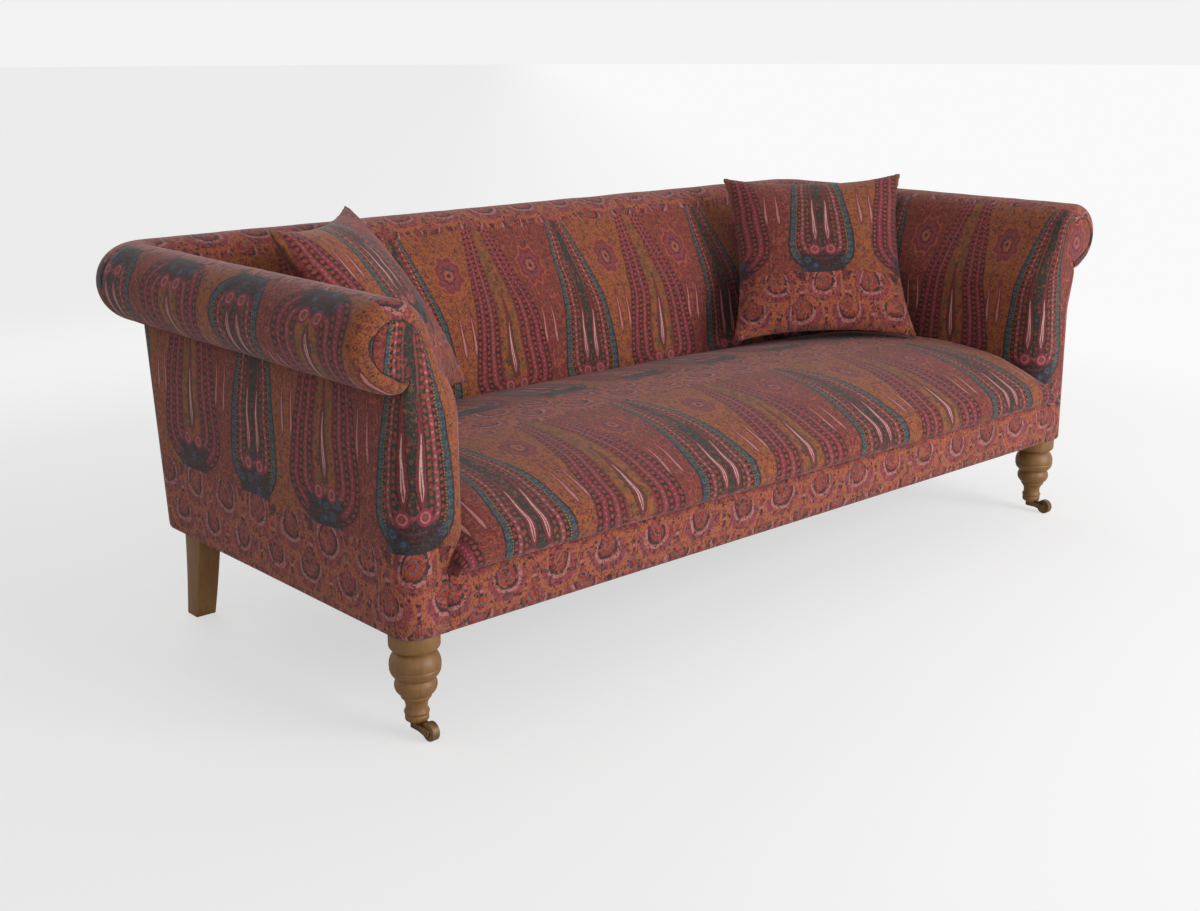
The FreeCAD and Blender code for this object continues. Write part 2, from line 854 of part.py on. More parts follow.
def make_front_leg():
    foot = leg_bottom
    outline = Outline((0.0, foot))
    outline.line((leg_collar - 2.0, foot))
    outline.line((leg_collar, foot + 2.0))
    outline.line((leg_collar, foot + 10.0))
    outline.line((leg_collar - 1.0, foot + 11.0))
    outline.arc((leg_collar + 1.4, foot + 15.5), (leg_collar - 1.0, foot + 20.0))
    outline.arc((leg_waist, foot + 29.0), (leg_ring - 2.0, foot + 41.0))
    outline.arc((leg_ring + 0.6, foot + 44.5), (leg_ring, foot + 48.0))
    outline.arc((leg_bead, foot + 66.0), (leg_bead - 5.0, foot + 79.0))
    outline.arc((leg_ball - 4.0, foot + 86.0), (leg_ball, foot + 98.0))
    outline.line((leg_ball - 1.3, foot + 99.0))
    outline.line((leg_ball + 0.1, foot + 100.2))
    outline.arc((leg_ball - 1.5, foot + 115.0), (leg_neck, foot + 130.0))
    outline.line((leg_neck, foot + 132.5))
    outline.arc((leg_ball - 3.0, foot + 134.5), (leg_ball, foot + 141.0))
    outline.line((leg_ball, frame_bottom))
    outline.line((0.0, frame_bottom))
    outline.line((0.0, foot))
    wire = outline.wire(lambda p: V(leg_x + p[0], leg_y, p[1]))
    leg = Part.Face(wire).revolve(V(leg_x, leg_y, 0), V(0, 0, 1), 360.0)
    bores = [
        cylinder(
            leg_bolt_radius + bolt_gap,
            leg_bolt_bury + cut_over,
            V(leg_x, leg_y, frame_bottom - leg_bolt_bury - cut_over),
            V(0, 0, 1),
        ),
        cylinder(castor_pin + bolt_gap, castor_stem + cut_over, V(leg_x, leg_y, foot), V(0, 0, 1)),
    ]
    return cut_all(leg, bores + [screw_bore(centre) for centre in screw_places()])


def screw_places():
    places = []
    for third in range(3):
        across, along = polar(screw_circle, math.radians(90.0 + 120.0 * third))
        places.append(V(leg_x + across, leg_y + along, leg_bottom - castor_plate))
    return places


def screw_bore(place):
    return cylinder(screw_radius + bolt_gap, screw_length + 1.0, place, V(0, 0, 1))


def rear_section(share, z):
    # Rear leg's outline at a share of the way from the foot to its top.
    width = rear_foot[0] + (rear_top[0] - rear_foot[0]) * share
    depth = rear_foot[1] + (rear_top[1] - rear_foot[1]) * share
    back = rear_y + rear_top[1] / 2.0 + rear_leg_splay * (1.0 - share) ** 1.6
    outer = rear_x + rear_top[0] / 2.0
    return polygon(
        [
            V(outer - width, back - depth, z),
            V(outer, back - depth, z),
            V(outer, back, z),
            V(outer - width, back, z),
        ]
    )


rear_bolt_x = half_width - rear_bolt_side


def bolt_places():
    places = [V(leg_x, leg_y, frame_bottom - leg_bolt_bury)]
    for side in (-0.5, 0.5):
        places.append(V(rear_bolt_x, rear_y + side * rear_bolt_spacing, frame_bottom - leg_bolt_bury))
    return places


def bolt_bores():
    bores = []
    for place in bolt_places():
        low = place - V(0, 0, cut_over / 2.0)
        bores.append(cylinder(leg_bolt_radius + bolt_gap, leg_bolt_length + cut_over, low, V(0, 0, 1)))
    return bores


def make_rear_leg():
    sections = []
    for share in (0.0, 0.5, 1.0):
        sections.append(rear_section(share, frame_bottom * share))
    return cut_all(Part.makeLoft(sections, True, False), bolt_bores())


def make_dust_cover():
    sheet = block(
        -post_out, post_out, rail_front, back_rail_back, frame_bottom - dust_cloth, frame_bottom
    )
    low = frame_bottom - 1.5 * dust_cloth
    round_hole = cylinder(leg_ball + leg_hole_gap, 2.0 * dust_cloth, V(leg_x, leg_y, low), V(0, 0, 1))
    round_hole = round_hole.fuse(
        block(leg_x, half_width, front, leg_y, low, frame_bottom + dust_cloth)
    )
    square_hole = block(
        rear_x - rear_top[0] / 2.0 - leg_hole_gap,
        rear_x + rear_top[0] / 2.0 + leg_hole_gap,
        rear_y - rear_top[1] / 2.0 - leg_hole_gap,
        rear_y + rear_top[1] / 2.0 + leg_hole_gap,
        low,
        frame_bottom + dust_cloth,
    )
    return cut_all(sheet, [round_hole, square_hole, mirrored(round_hole), mirrored(square_hole)])


# Castors
def make_castor_plate():
    low = V(leg_x, leg_y, leg_bottom - castor_plate)
    plate = cylinder(castor_plate_radius, castor_plate, low, V(0, 0, 1))
    stem = cylinder(castor_pin, castor_stem + castor_plate, low, V(0, 0, 1))
    drop = boss_height + 2.0 * castor_gap
    pin = cylinder(castor_pin, drop, V(leg_x, leg_y, leg_bottom - castor_plate - drop), V(0, 0, 1))
    head = cylinder(pin_head, pin_head_depth, low - V(0, 0, drop + pin_head_depth), V(0, 0, 1))
    body = plate.fuse([stem, pin, head])
    return cut_all(body, [screw_bore(place - V(0, 0, 0.5)) for place in screw_places()])


def make_castor_screws():
    screws = []
    for place in screw_places():
        screws.append(cylinder(screw_radius, screw_length, place, V(0, 0, 1)))
    return screws + [mirrored(screw) for screw in screws]


def make_castor_horn():
    top = leg_bottom - castor_plate - castor_gap
    low = top - boss_height
    boss = cylinder(boss_radius, boss_height, V(leg_x, leg_y, low), V(0, 0, 1))
    inside = wheel_width / 2.0 + cheek_gap
    outside = inside + cheek
    crown_front = leg_y - castor_trail + wheel_radius + 4.0
    crown = block(leg_x - outside, leg_x + outside, crown_front, leg_y, low, top)
    cheeks = []
    hub_y = leg_y - castor_trail
    for x in (leg_x - outside, leg_x + inside):
        side = prism_x(
            [
                (leg_y, low),
                (leg_y, top),
                (crown_front, top),
                (hub_y, wheel_radius + cheek_hub),
                (hub_y, wheel_radius - cheek_hub),
                (crown_front, low),
            ],
            x,
            x + cheek,
        )
        cheeks.append(side)
        cheeks.append(cylinder(cheek_hub, cheek, V(x, hub_y, wheel_radius), V(1, 0, 0)))
    body = boss.fuse([crown] + cheeks)
    swivel_bore = cylinder(
        castor_pin + running_gap, boss_height + 2.0 * cut_over, V(leg_x, leg_y, low - cut_over), V(0, 0, 1)
    )
    axle_start = V(leg_x - outside - cut_over, hub_y, wheel_radius)
    axle_bore = cylinder(axle_radius + bolt_gap, 2.0 * (outside + cut_over), axle_start, V(1, 0, 0))
    return cut_all(body, [swivel_bore, axle_bore]).removeSplitter()


def make_castor_axle():
    outside = wheel_width / 2.0 + cheek_gap + cheek
    place = V(leg_x - outside, leg_y - castor_trail, wheel_radius)
    pin = cylinder(axle_radius, 2.0 * outside, place, V(1, 0, 0))
    near = cylinder(axle_head, axle_head_depth, place - V(axle_head_depth, 0, 0), V(1, 0, 0))
    far = cylinder(axle_head, axle_head_depth, place + V(2.0 * outside, 0, 0), V(1, 0, 0))
    return pin.fuse([near, far])


def make_castor_wheel():
    half = wheel_width / 2.0
    hub_y = leg_y - castor_trail
    outline = Outline((axle_radius + running_gap, -half))
    outline.line((wheel_radius * 0.55, -half))
    outline.line((wheel_radius * 0.6, -half + 0.8))
    outline.line((wheel_radius - 2.2, -half + 0.8))
    outline.arc((wheel_radius - 0.6, -half + 1.4), (wheel_radius, -half + 3.0))
    outline.line((wheel_radius, half - 3.0))
    outline.arc((wheel_radius - 0.6, half - 1.4), (wheel_radius - 2.2, half - 0.8))
    outline.line((wheel_radius * 0.6, half - 0.8))
    outline.line((wheel_radius * 0.55, half))
    outline.line((axle_radius + running_gap, half))
    outline.line((axle_radius + running_gap, -half))
    wire = outline.wire(lambda p: V(leg_x + p[1], hub_y, wheel_radius + p[0]))
    return Part.Face(wire).revolve(V(leg_x, hub_y, wheel_radius), V(1, 0, 0), 360.0)


# Cushions
def cushion_wire(half, hollow, w):
    # Four corners joined by arcs: drawn in near the seam, a little full near the crown.
    corners = [V(-half, -half, w), V(half, -half, w), V(half, half, w), V(-half, half, w)]
    middles = [
        V(0, -half + hollow, w),
        V(half - hollow, 0, w),
        V(0, half - hollow, w),
        V(-half + hollow, 0, w),
    ]
    edges = []
    for index in range(4):
        edges.append(Part.Arc(corners[index], middles[index], corners[(index + 1) % 4]).toShape())
    return Part.Wire(edges)


def make_cushion(layer):
    # Two crowned halves that meet at the seam, in the cushion's own frame.
    half = cushion_side / 2.0 - 2.0 * layer
    crown = cushion_thick / 2.0 - layer
    levels = (
        (0.0, 1.0, 1.0),
        (0.26, 0.93, 1.05),
        (0.58, 0.80, 0.80),
        (0.82, 0.62, -0.1),
        (0.96, 0.38, -0.8),
        (1.0, 0.20, -0.5),
    )
    halves = []
    for side in (1.0, -1.0):
        sections = []
        for height, reach, draw in levels:
            sections.append(cushion_wire(half * reach, cushion_hollow * draw, side * crown * height))
        halves.append(Part.makeLoft(sections, True, True))
    return halves[0].fuse(halves[1])


def place_cushion(shape, pose):
    turn, lean, tilt = [math.radians(angle) for angle in pose[:3]]
    middle = V(arm_in - pose[3], back_in - pose[4], seat_side_height + pose[5])
    away = V(math.sin(turn), math.cos(turn), 0)
    level = V(math.cos(turn), -math.sin(turn), 0)
    rise = V(0, 0, math.cos(lean)) + away * math.sin(lean)
    across = level * math.cos(tilt) + rise * math.sin(tilt)
    up = rise * math.cos(tilt) - level * math.sin(tilt)
    out = across.cross(up)
    matrix = FreeCAD.Matrix(
        across.x, up.x, out.x, middle.x,
        across.y, up.y, out.y, middle.y,
        across.z, up.z, out.z, middle.z,
        0, 0, 0, 1,
    )
    placed = shape.copy()
    placed.Placement = FreeCAD.Placement(matrix)
    return placed


cushion_skin = make_cushion(0.0).cut(make_cushion(cushion_cloth))
cushion_filling = make_cushion(cushion_cloth + fit)

bores = bolt_bores()
front_post_bored = cut_all(front_post, bores)
side_rail = cut_all(side_rail, bores)
corner_blocks = [cut_all(solid, bores + [mirrored(bore) for bore in bores]) for solid in corner_blocks]
bolts = [cylinder(leg_bolt_radius, leg_bolt_length, place, V(0, 0, 1)) for place in bolt_places()]
inside_arm = make_inside_arm()
outside_arm = make_outside_arm()
arm_padding = make_arm_padding()
facing = make_facing()
front_leg = make_front_leg()
rear_leg = make_rear_leg()
castor_plate_solid = make_castor_plate()
castor_horn = make_castor_horn()
castor_axle = make_castor_axle()
castor_wheel = make_castor_wheel()

nodes = {
    "front_rail": front_rail,
    "back_rail": back_rail,
    "seat_stretchers": stretchers,
    "back_top_rail": back_top_rail,
    "back_stuffing_rail": back_stuffing_rail,
    "back_uprights": uprights,
    "corner_blocks": corner_blocks,
    "seat_springs": springs,
    "spring_clips": clips,
    "seat_hessian": hessian,
    "seat_foam": seat_foam,
    "seat_cover": seat_cover,
    "back_webbing": straps,
    "back_padding": make_back_padding(),
    "inside_back_cover": make_inside_back(),
    "outside_back_cover": make_outside_back(),
    "front_border": make_border(),
    "border_wadding": make_border_wadding(),
    "dust_cover": make_dust_cover(),
    "leg_bolts": bolts + [mirrored(bolt) for bolt in bolts],
    "castor_screws": make_castor_screws(),
    "cushion_cover_right": place_cushion(cushion_skin, cushion_right),
    "cushion_cover_left": mirrored(place_cushion(cushion_skin, cushion_left)),
    "cushion_pad_right": place_cushion(cushion_filling, cushion_right),
    "cushion_pad_left": mirrored(place_cushion(cushion_filling, cushion_left)),
}

pairs = {
    "arm_front_post": front_post_bored,
    "back_post": back_post,
    "side_rail": side_rail,
    "arm_stuffing_rail": arm_stuffing_rail,
    "arm_top_rail": arm_top_rail,
    "arm_webbing": arm_webbing,
    "arm_padding": arm_padding,
    "arm_front_padding": make_front_padding(),
    "inside_arm_cover": inside_arm,
    "outside_arm_cover": outside_arm,
    "arm_facing": facing,
    "front_leg": front_leg,
    "rear_leg": rear_leg,
    "castor_plate": castor_plate_solid,
    "castor_horn": castor_horn,
    "castor_axle": castor_axle,
    "castor_wheel": castor_wheel,
}

for name, shape in pairs.items():
    nodes[name + "_right"] = shape
    nodes[name + "_left"] = mirrored(shape)

os.makedirs("parts", exist_ok=True)
for name, shape in sorted(nodes.items()):
    solids = shape if isinstance(shape, list) else [shape]
    solids = [solid for item in solids for solid in item.Solids]
    whole = solids[0] if len(solids) == 1 else Part.makeCompound(solids)
    whole.exportStep("parts/" + name + ".step")
    print(name, len(solids), whole.isValid(), round(whole.Volume / 1000.0, 1))
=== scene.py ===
from math import acos, atan2, copysign, cos, dist, pi, radians, sin, sqrt, tan

import bmesh
import bpy
from mathutils import Matrix, Vector, noise


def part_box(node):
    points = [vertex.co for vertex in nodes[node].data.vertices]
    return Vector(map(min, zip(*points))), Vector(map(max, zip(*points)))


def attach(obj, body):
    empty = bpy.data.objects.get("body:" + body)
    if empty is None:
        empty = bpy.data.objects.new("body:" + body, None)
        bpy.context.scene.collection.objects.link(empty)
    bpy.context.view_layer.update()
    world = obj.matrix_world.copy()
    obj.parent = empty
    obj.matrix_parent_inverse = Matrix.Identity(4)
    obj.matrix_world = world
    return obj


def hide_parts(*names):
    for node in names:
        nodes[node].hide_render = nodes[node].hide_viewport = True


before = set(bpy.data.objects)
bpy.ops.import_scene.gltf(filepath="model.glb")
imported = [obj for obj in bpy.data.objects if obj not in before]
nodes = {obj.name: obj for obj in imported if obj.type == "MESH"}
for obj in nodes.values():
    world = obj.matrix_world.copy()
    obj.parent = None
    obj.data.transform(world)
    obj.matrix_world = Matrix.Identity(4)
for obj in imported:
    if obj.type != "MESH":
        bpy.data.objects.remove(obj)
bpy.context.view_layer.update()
fullTurn = 2.0 * pi

shape = dict(  # the covers' main lines, in metres
    front=-0.500,
    bottom=0.190,
    borderTop=0.298,
    borderEnd=0.916,
    rollRadius=0.077,
    rollHeight=0.693,
    armRollX=0.998,
    armCrease=(0.991, 0.6163),
    armFoot=1.000,
    armInside=0.855,
    armFillet=0.150,
    armLean=28.0,
    backRollY=0.452,
    backCrease=(0.443, 0.6163),
    backFoot=0.381,
    backLean=35.0,
    backRake=10.0,
    backFillet=0.200,
    backFace=(0.233, 0.400),
    backLow=0.340,
    cornerX=0.943,
    cornerY=0.397,
    cornerRound=0.047,
    cornerLow=0.334,
    cornerHigh=0.396,
    bodyRound=0.055,
    outerRound=0.042,
    scrollRound=0.030,
    creaseRound=0.014,
    clothWall=0.003,
)
front, bottom, rollRadius, rollHeight, armRollX, backRollY, armFillet, creaseRound = (
    shape[key]
    for key in ("front", "bottom", "rollRadius", "rollHeight", "armRollX", "backRollY", "armFillet", "creaseRound")
)

pattern = dict(  # the printed cloth: fans and flames above a scalloped band
    cell=0.240,
    repeat=0.600,
    field=0.440,
    backShift=0.070,
    backRise=0.012,
    seatShift=0.230,
    leftArmFan=-0.596,
    rightArmFan=-0.480,
    bandTop=0.345,
)
armFan = {1: pattern["rightArmFan"], -1: pattern["leftArmFan"]}


def mathsNode(operation, turned=False):  # a shader maths node in place of a Python operator
    if turned:
        return lambda self, other: self.look.maths(operation, other, self)
    return lambda self, other: self.look.maths(operation, self, other)


class Wire:  # one output, so that shader maths reads as plain sums
    def __init__(self, look, socket):
        self.look = look
        self.socket = socket

    def __abs__(self):
        return self.look.maths("ABSOLUTE", self)

    __add__, __radd__ = mathsNode("ADD"), mathsNode("ADD", True)
    __sub__, __rsub__ = mathsNode("SUBTRACT"), mathsNode("SUBTRACT", True)
    __mul__, __rmul__ = mathsNode("MULTIPLY"), mathsNode("MULTIPLY", True)
    __truediv__, __rtruediv__ = mathsNode("DIVIDE"), mathsNode("DIVIDE", True)
    __pow__ = mathsNode("POWER")
    __mod__ = mathsNode("FLOORED_MODULO")


def tint(red, green, blue):  # a colour as it is seen, turned to the light that a shader mixes
    values = []
    for part in (red, green, blue):
        part = part / 255.0
        values.append(part / 12.92 if part <= 0.04045 else ((part + 0.055) / 1.055) ** 2.4)
    return (*values, 1.0)


class Look:  # one material, or the world, under the making
    def __init__(self, name, kind=bpy.data.materials):
        self.owner = kind.new(name)
        self.owner.use_nodes = True
        self.tree = self.owner.node_tree
        self.tree.nodes.clear()

    def node(self, kind, settings=None, inputs=None, out=0):
        made = self.tree.nodes.new(kind)
        for key, value in (settings or {}).items():
            setattr(made, key, value)
        for key, value in (inputs or {}).items():
            if isinstance(value, Wire):
                self.tree.links.new(value.socket, made.inputs[key])
            else:
                made.inputs[key].default_value = value
        return Wire(self, made.outputs[out]) if made.outputs else None

    def ownPlace(self):
        return self.node("ShaderNodeTexCoord", None, None, "Object")

    def maths(self, operation, *values):
        return self.node("ShaderNodeMath", dict(operation=operation), dict(enumerate(values)))

    def fade(self, value, low, high):  # smooth step from 0 at low to 1 at high
        inputs = {"Value": value, "From Min": low, "From Max": high}
        return self.node("ShaderNodeMapRange", dict(interpolation_type="SMOOTHSTEP"), inputs)

    def mix(self, below, above, mask):
        return self.node("ShaderNodeMix", dict(data_type="RGBA"), {0: mask, 6: below, 7: above}, out=2)

    def lay(self, colour, coats):  # coats of colour, each over the ones before it
        for coat, mask in coats:
            colour = self.mix(colour, cloth[coat] if coat in cloth else coat, mask)
        return colour

    def vector(self, operation, first, second):
        return self.node("ShaderNodeVectorMath", dict(operation=operation), {0: first, 1: second})

    def least(self, first, second):
        return self.maths("MINIMUM", first, second)

    def most(self, first, second):
        return self.maths("MAXIMUM", first, second)

    def split(self, vector):
        made = self.tree.nodes.new("ShaderNodeSeparateXYZ")
        self.tree.links.new(vector.socket, made.inputs[0])
        return [Wire(self, output) for output in made.outputs]

    def join(self, x, y, z=0.0):
        return self.node("ShaderNodeCombineXYZ", None, {0: x, 1: y, 2: z})

    def cloud(self, place, scale, detail=2.0, roughness=0.5, out=0):
        inputs = {"Vector": place, "Scale": scale, "Detail": detail, "Roughness": roughness}
        return self.node("ShaderNodeTexNoise", None, inputs, out)

    def cells(self, place, scale, out="Distance"):
        return self.node("ShaderNodeTexVoronoi", dict(feature="F1"), {"Vector": place, "Scale": scale}, out)

    def stretch(self, place, scale):
        return self.vector("MULTIPLY", place, scale)

    def finish(self, colour, roughness, bumps, bumpDepth, bumpStrength, **constants):
        normal = self.node("ShaderNodeBump", None, {"Strength": bumpStrength, "Distance": bumpDepth, "Height": bumps})
        inputs = {"Base Color": colour, "Roughness": roughness, "Normal": normal}
        inputs.update((key.replace("_", " "), value) for key, value in constants.items())
        return self.show(self.node("ShaderNodeBsdfPrincipled", None, inputs))

    def show(self, shader, kind="ShaderNodeOutputMaterial"):
        self.node(kind, None, {"Surface": shader})
        return self.owner


# the shawl cloth
cloth = dict(
    greenBlack=tint(47, 50, 42),
    black=tint(42, 30, 33),
    teal=tint(46, 68, 76),
    tealLight=tint(84, 112, 120),
    rose=tint(150, 66, 72),
    wine=tint(122, 44, 50),
    magenta=tint(146, 48, 68),
    mustard=tint(124, 84, 44),
    orange=tint(164, 90, 50),
    crimson=tint(138, 58, 50),
    coral=tint(178, 90, 66),
    pink=tint(196, 128, 124),
    pale=tint(206, 168, 158),
    red=tint(160, 58, 46),
    navy=tint(44, 50, 68),
    yellow=tint(150, 116, 56),
)


def makeShawlCloth():
    look = Look("shawlCloth")
    fade = look.fade
    place = look.node("ShaderNodeUVMap", dict(uv_map="cloth"))
    drift = look.cloud(place, 11.0, 1.0, out=1)
    drift = look.stretch(look.vector("SUBTRACT", drift, (0.5, 0.5, 0.5)), (0.012, 0.012, 0.0))
    drawn = look.vector("ADD", place, drift)
    u, v, _ = look.split(drawn)

    along = u / pattern["cell"]
    fan = look.maths("FLOOR", along + 0.5)
    across = abs(along - fan)  # 0 in the middle of a fan, a half in the middle of a flame
    second = fan % 2.0  # 1 on every other fan
    rustFlame = look.maths("FLOOR", along) % 2.0
    rise = v % pattern["repeat"]
    share = look.least(rise / pattern["field"], 1.0)
    swell = 1.0 - share ** 1.45
    width = 0.112 + 0.258 * swell + second * (0.045 + 0.085 * swell)
    closing = look.most((0.085 - rise) / 0.085, 0.0)
    ring = look.maths("SQRT", (across / width) ** 2.0 + closing * closing * 0.9)
    scale = width * pattern["cell"]

    def stripe(centre, half, soft=0.018):
        return fade(abs(ring - centre), half + soft, half - soft)

    def beads(centre, radius, gap, lift=0.0):
        sideways = (ring - centre) * scale
        upward = (rise + lift) % gap - gap * 0.5
        return fade(look.maths("SQRT", sideways * sideways + upward * upward), radius * 1.15, radius * 0.7)

    def drop(offset, low, high, half):  # long teardrop, round below and pointed above
        part = (rise - low) / (high - low)
        inside = fade(part, 0.0, 0.06) * fade(part, 1.0, 0.96)
        bell = look.most(look.least(part * 5.0, 1.0) * (1.0 - part) + 0.10, 0.02)
        return fade(abs(offset) / bell, half * 1.1, half * 0.8) * inside

    # little woven flowers and leaves that fill every ground
    fineCells = look.cells(drawn, 74.0)
    tone, toneTwo, _ = look.split(look.cells(drawn, 74.0, "Color"))
    petals = fade(fineCells, 0.40, 0.28)
    hearts = fade(fineCells, 0.17, 0.11)
    scrolls = look.cloud(drawn, 46.0, 1.5)
    scrollLines = fade(abs(scrolls - 0.5), 0.030, 0.012)
    bigScrolls = look.cloud(look.stretch(drawn, (1.0, 0.55, 1.0)), 27.0, 0.6)
    bigLines = fade(abs(bigScrolls - 0.52), 0.026, 0.012)

    inkCloud = look.cloud(look.stretch(drawn, (1.0, 0.8, 1.0)), 88.0, 1.0)
    inkLines = fade(abs(inkCloud - 0.49), 0.034, 0.014)
    inkRings = fade(abs(fineCells - 0.36), 0.060, 0.030)

    # teal fans
    first = look.lay(cloth["greenBlack"], (
        ("wine", petals * fade(tone, 0.50, 0.60)),
        ("mustard", petals * fade(tone, 0.30, 0.22) * 0.75),
        ("coral", hearts * 0.65),
        ("rose", stripe(0.58, 0.055)),
        ("pink", beads(0.58, 0.0028, 0.014) * 0.8),
        ("red", beads(0.42, 0.0040, 0.013)),
        ("rose", stripe(0.26, 0.035) * 0.85),
        ("black", stripe(0.72, 0.065)),
        ("red", beads(0.70, 0.0034, 0.012, 0.006)),
        ("yellow", beads(0.785, 0.0019, 0.0058)),
        ("teal", stripe(0.885, 0.075)),
        ("tealLight", beads(0.885, 0.0058, 0.017) * 0.55),
        ("teal", beads(0.885, 0.0026, 0.017)),
        ("black", stripe(0.985, 0.025)),
    ))

    # wine fans
    other = look.mix(cloth["wine"], cloth["black"], petals * fade(tone, 0.45, 0.58) * 0.6)
    for centre, half in ((0.925, 0.058), (0.665, 0.058), (0.40, 0.05)):
        other = look.lay(other, (
            ("black", stripe(centre, half)),
            ("red", beads(centre, 0.0042, 0.0130, centre * 0.01)),
        ))
    for centre, half, hue in ((0.795, 0.042, "magenta"), (0.53, 0.042, "rose")):
        other = look.lay(other, (
            (hue, stripe(centre, half)),
            ("pink", beads(centre, 0.0019, 0.0105) * 0.55),
        ))
    wedge = fade(ring, 0.31, 0.27)
    mustard = look.lay(cloth["mustard"], (
        ("orange", fade(scrolls, 0.46, 0.54) * 0.8),
        ("black", petals * fade(tone, 0.50, 0.60) * 0.7),
        ("coral", hearts * 0.8),
        ("wine", inkRings * 0.6),
    ))
    other = look.mix(other, mustard, wedge)
    fans = look.lay(first, (
        (other, second),
        ("coral", fade(abs(scrolls - 0.47), 0.018, 0.008) * 0.40),
        ("black", fade(abs(inkCloud - 0.56), 0.022, 0.010) * 0.60),
    ))

    fromFan = across * pattern["cell"]
    stem = fromFan - 0.0165 * (1.0 - second)  # two drops on the teal fans, one on the others
    fans = look.lay(fans, (
        ("black", drop(stem, 0.066, 0.275, 0.0165) * 0.8),
        ("wine", drop(stem, 0.070, 0.270, 0.0125)),
        ("pale", drop(stem, 0.084, 0.205, 0.0050)),
        ("magenta", drop(stem, 0.088, 0.150, 0.0020)),
    ))

    # flames between the fans
    fromFlame = (0.5 - across) * pattern["cell"]
    ground = look.mix(cloth["orange"], cloth["crimson"], rustFlame)
    dark = look.mix(cloth["crimson"], cloth["coral"], rustFlame)
    ground = look.lay(ground, (
        (dark, scrollLines * 0.75),
        ("black", inkLines * 0.62),
        ("mustard", petals * fade(tone, 0.40, 0.30) * 0.5),
        ("magenta", petals * fade(tone, 0.70, 0.80) * 0.6),
        ("black", inkRings * fade(tone, 0.52, 0.62) * 0.7),
        ("navy", hearts * fade(toneTwo, 0.55, 0.65) * 0.8),
        ("coral", hearts * fade(toneTwo, 0.45, 0.35) * 0.8),
    ))
    upward = (rise - 0.335) * 0.72
    petalTurn = look.maths("ARCTAN2", upward, fromFlame + 0.0001)
    medal = look.maths("SQRT", fromFlame * fromFlame + upward * upward)
    medal = medal * (1.0 + 0.10 * look.maths("COSINE", petalTurn * 8.0)) + (inkCloud - 0.5) * 0.012
    ground = look.lay(ground, (
        ("coral", fade(medal, 0.038, 0.035) * fade(medal, 0.030, 0.033) * 0.8),
        ("wine", fade(medal, 0.034, 0.030) * 0.8),
        ("rose", fade(abs(medal - 0.021), 0.0050, 0.0030) * 0.7),
        ("navy", fade(abs(medal - 0.0155), 0.0024, 0.0012) * 0.7),
        ("coral", fade(medal, 0.013, 0.009)),
        ("navy", fade(medal, 0.0055, 0.0035)),
    ))
    aside = fromFlame - 0.015
    ground = look.lay(ground, (
        ("wine", drop(aside, 0.125, 0.270, 0.0085) * 0.8),
        ("pink", drop(aside, 0.135, 0.230, 0.0038)),
    ))
    field = look.mix(ground, fans, fade(ring, 1.03, 0.99))

    # dark fruit and flowers at the foot of each fan
    foot = fade(rise, 0.058, 0.046) * fade(fromFan, 0.062, 0.048)
    fruit = look.cells(drawn, 36.0)
    field = look.lay(field, (
        ("black", foot * 0.85),
        ("navy", foot * fade(fruit, 0.46, 0.38)),
        ("tealLight", foot * fade(abs(fruit - 0.24), 0.06, 0.03) * 0.45),
        ("magenta", foot * fade(fruit, 0.13, 0.08) * 0.8),
    ))
    sideBloom = look.maths("SQRT", (fromFan - 0.021) ** 2.0 + (rise - 0.060) ** 2.0)
    field = look.lay(field, (
        ("magenta", fade(sideBloom, 0.0165, 0.0135)),
        ("pink", fade(abs(sideBloom - 0.0085), 0.0022, 0.0010) * 0.7),
        ("mustard", fade(sideBloom, 0.0042, 0.0028)),
    ))

    # scalloped band
    sway = (bigScrolls - 0.5) * 0.030

    def scallop(shift, height):
        sideways = (u + shift + sway) % 0.120 - 0.060
        upward = rise - height + 7.0 * sideways * sideways
        return look.maths("SQRT", sideways * sideways + upward * upward * 0.8)

    band = look.lay(cloth["wine"], (
        ("black", fade(tone, 0.50, 0.58) * 0.75),
        ("red", petals * fade(toneTwo, 0.40, 0.50)),
        ("mustard", petals * fade(toneTwo, 0.22, 0.16) * 0.8),
    ))
    for shift, height in ((0.060, 0.462), (0.0, 0.515), (0.060, 0.578)):
        reach = scallop(shift, height)
        band = look.lay(band, (
            ("rose", fade(reach, 0.046, 0.043) * 0.75),
            ("pink", fade(abs(reach - 0.030), 0.0040, 0.0022) * 0.75),
            ("black", fade(abs(reach - 0.0245), 0.0034, 0.0018) * 0.8),
            ("red", fade(reach, 0.0205, 0.0180)),
            ("tealLight", fade(abs(reach - 0.011), 0.0026, 0.0014) * 0.6),
            ("coral", fade(abs(reach - 0.0505), 0.0062, 0.0040)),
            ("yellow", fade(abs(reach - 0.0505), 0.0014, 0.0006) * 0.5),
        ))
    band = look.lay(band, (
        ("coral", bigLines * 0.85),
        ("black", inkLines * 0.75),
        ("black", fade(fineCells, 0.30, 0.22) * fade(tone, 0.56, 0.64) * 0.85),
        ("orange", fade(fineCells, 0.26, 0.20) * fade(tone, 0.34, 0.26) * 0.8),
        ("mustard", inkRings * fade(toneTwo, 0.55, 0.65) * 0.5),
    ))
    edge = 0.003 * look.maths("SINE", u * (fullTurn / 0.060))
    colour = look.mix(field, band, fade(rise + edge, pattern["field"] - 0.002, pattern["field"] + 0.002))

